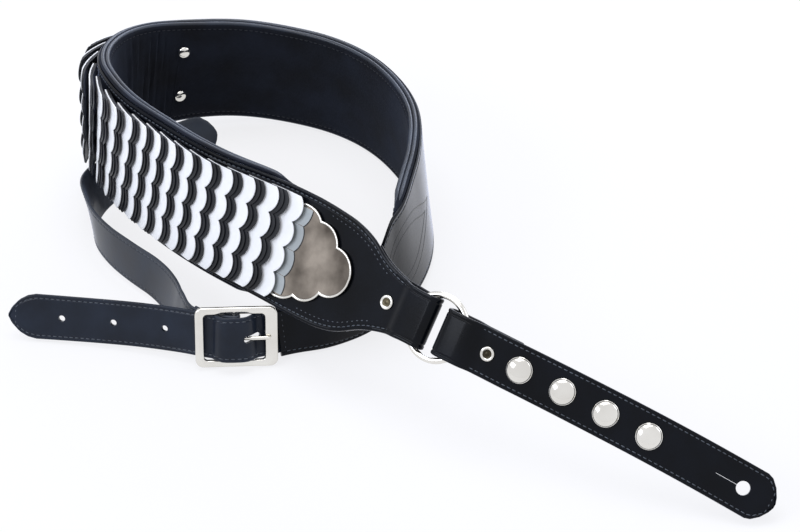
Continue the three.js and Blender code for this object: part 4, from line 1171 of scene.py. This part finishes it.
def tab_shape():
    top = -TAB.leather / 2
    path = fold_path((0, TAB_BAR_HIGH), TAB_LOOP, top - TAB.leather - GAP, top,
                     TAB.fold_back, BUCKLE.slot / 2, TAB.fold_back / 2)
    path += straight_path(TAB.fold_back / 2, TAB.length, TAB.tip, top, 2.5)[1:]
    return strip(tab_way, path, strip_section(TAB.leather, 2.6, 0.3), tab_half)


# The buckle strap's lighter, bluer grey carries a painted sheen.
buckle_strap = piece("buckle_strap_leather", *tab_shape(), flesh_painted_sheen_leather,
                     stands_for=["buckle_strap"], slot="leather")
cut(buckle_strap, [*button_hole(tab_way, TAB.length - TAB.hole_to_tip, TAB.hole, TAB.slit),
                   cutter(tab_way, -BUCKLE.slot, 0, PRONG_SLOT, 2 * BUCKLE.slot, 30)])
stitches("buckle_strap_stitching", tab_way,
         [round_line(tab_half, SEAM.tab_start, TAB.length, TAB.tip)], -0.2)

# ---- studio

# The white that the floor gives by itself, and the world's light on the object
FLOOR_SHARE = 0.79
WORLD_LIGHT = 0.58


def background_rays(tree):
    """One for the rays that see the studio itself, from the camera, gloss or glass."""
    sight = add(tree, "LightPath")
    direct = add(tree, "Math", links={0: (sight, "Is Camera Ray"),
                                      1: (sight, "Is Glossy Ray")},
                 operation="MAXIMUM")
    return add(tree, "Math", links={0: (direct, "Value"), 1: (sight, "Is Transmission Ray")},
               operation="MAXIMUM")


def paper_floor():
    """White paper that takes shadows, and gives a share of its light to those rays itself."""
    material = bpy.data.materials.new("white_paper_floor")
    tree = blank_tree(material)
    part = add(tree, "Math", {1: FLOOR_SHARE}, {0: (background_rays(tree), "Value")},
               operation="MULTIPLY")
    lit = add(tree, "BsdfDiffuse", {"Color": linear("#f3f5fa")})
    bright = add(tree, "Emission", {"Color": linear("#fdfdff"), "Strength": 1.0})
    both = add(tree, "MixShader", links={"Fac": (part, "Value"), 1: (lit, "BSDF"),
                                         2: (bright, "Emission")})
    add(tree, "OutputMaterial", links={"Surface": (both, "Shader")})
    return material


FLOOR_REACH, FLOOR_HIGH = 6, -0.0003
sheet = bpy.data.meshes.new("studio_floor")
sheet.from_pydata([(x * FLOOR_REACH, y * FLOOR_REACH, FLOOR_HIGH)
                   for x, y in ((-1, -1), (1, -1), (1, 1), (-1, 1))], [], [(0, 1, 2, 3)])
sheet.materials.append(paper_floor())
in_scene("studio_floor", sheet)

world = bpy.data.worlds.new("studio")
tree = blank_tree(world)
strength = add(tree, "MapRange", {"To Min": WORLD_LIGHT, "To Max": 1.0},
               {"Value": (background_rays(tree), "Value")})
air = add(tree, "Background", {"Color": linear("#fafbff")}, {"Strength": (strength, "Result")})
add(tree, "OutputWorld", links={"Surface": (air, "Background")})
bpy.context.scene.world = world


def lamp(name, place, aim, size, power, colour):
    light = bpy.data.lights.new(name, "AREA")
    light.shape, light.size, light.size_y = "RECTANGLE", *size
    light.energy, light.color = power, linear(colour)[:3]
    made = in_scene(name, light)
    made.location = place
    made.rotation_euler = (Vector(aim) - Vector(place)).to_track_quat("-Z", "Y").to_euler()


lamp("soft_top", (-0.2, 0.35, 1.9), (0, 0, 0), (1.5, 1.1), 17, "#ffffff")
lamp("soft_left", (-1.15, -0.5, 0.95), (0, 0, 0.05), (0.9, 0.4), 7, "#eaf1ff")
lamp("soft_right", (1.5, 0.3, 0.9), (0, 0, 0.05), (0.9, 0.9), 4, "#f2f6ff")
lamp("soft_back", (0.45, 1.5, 0.75), (0.1, 0, 0.05), (1.3, 0.5), 9, "#dde7ff")

camera = bpy.data.cameras.new("photo_camera")
camera.lens, camera.sensor_width = 108.36, 36
holder = in_scene("photo_camera", camera)
holder.location = (0.014919, -1.229215, 0.987057)
holder.rotation_euler = (radians(52), 0, 0)
bpy.context.scene.camera = holder
bpy.context.scene.view_settings.view_transform = "Standard"
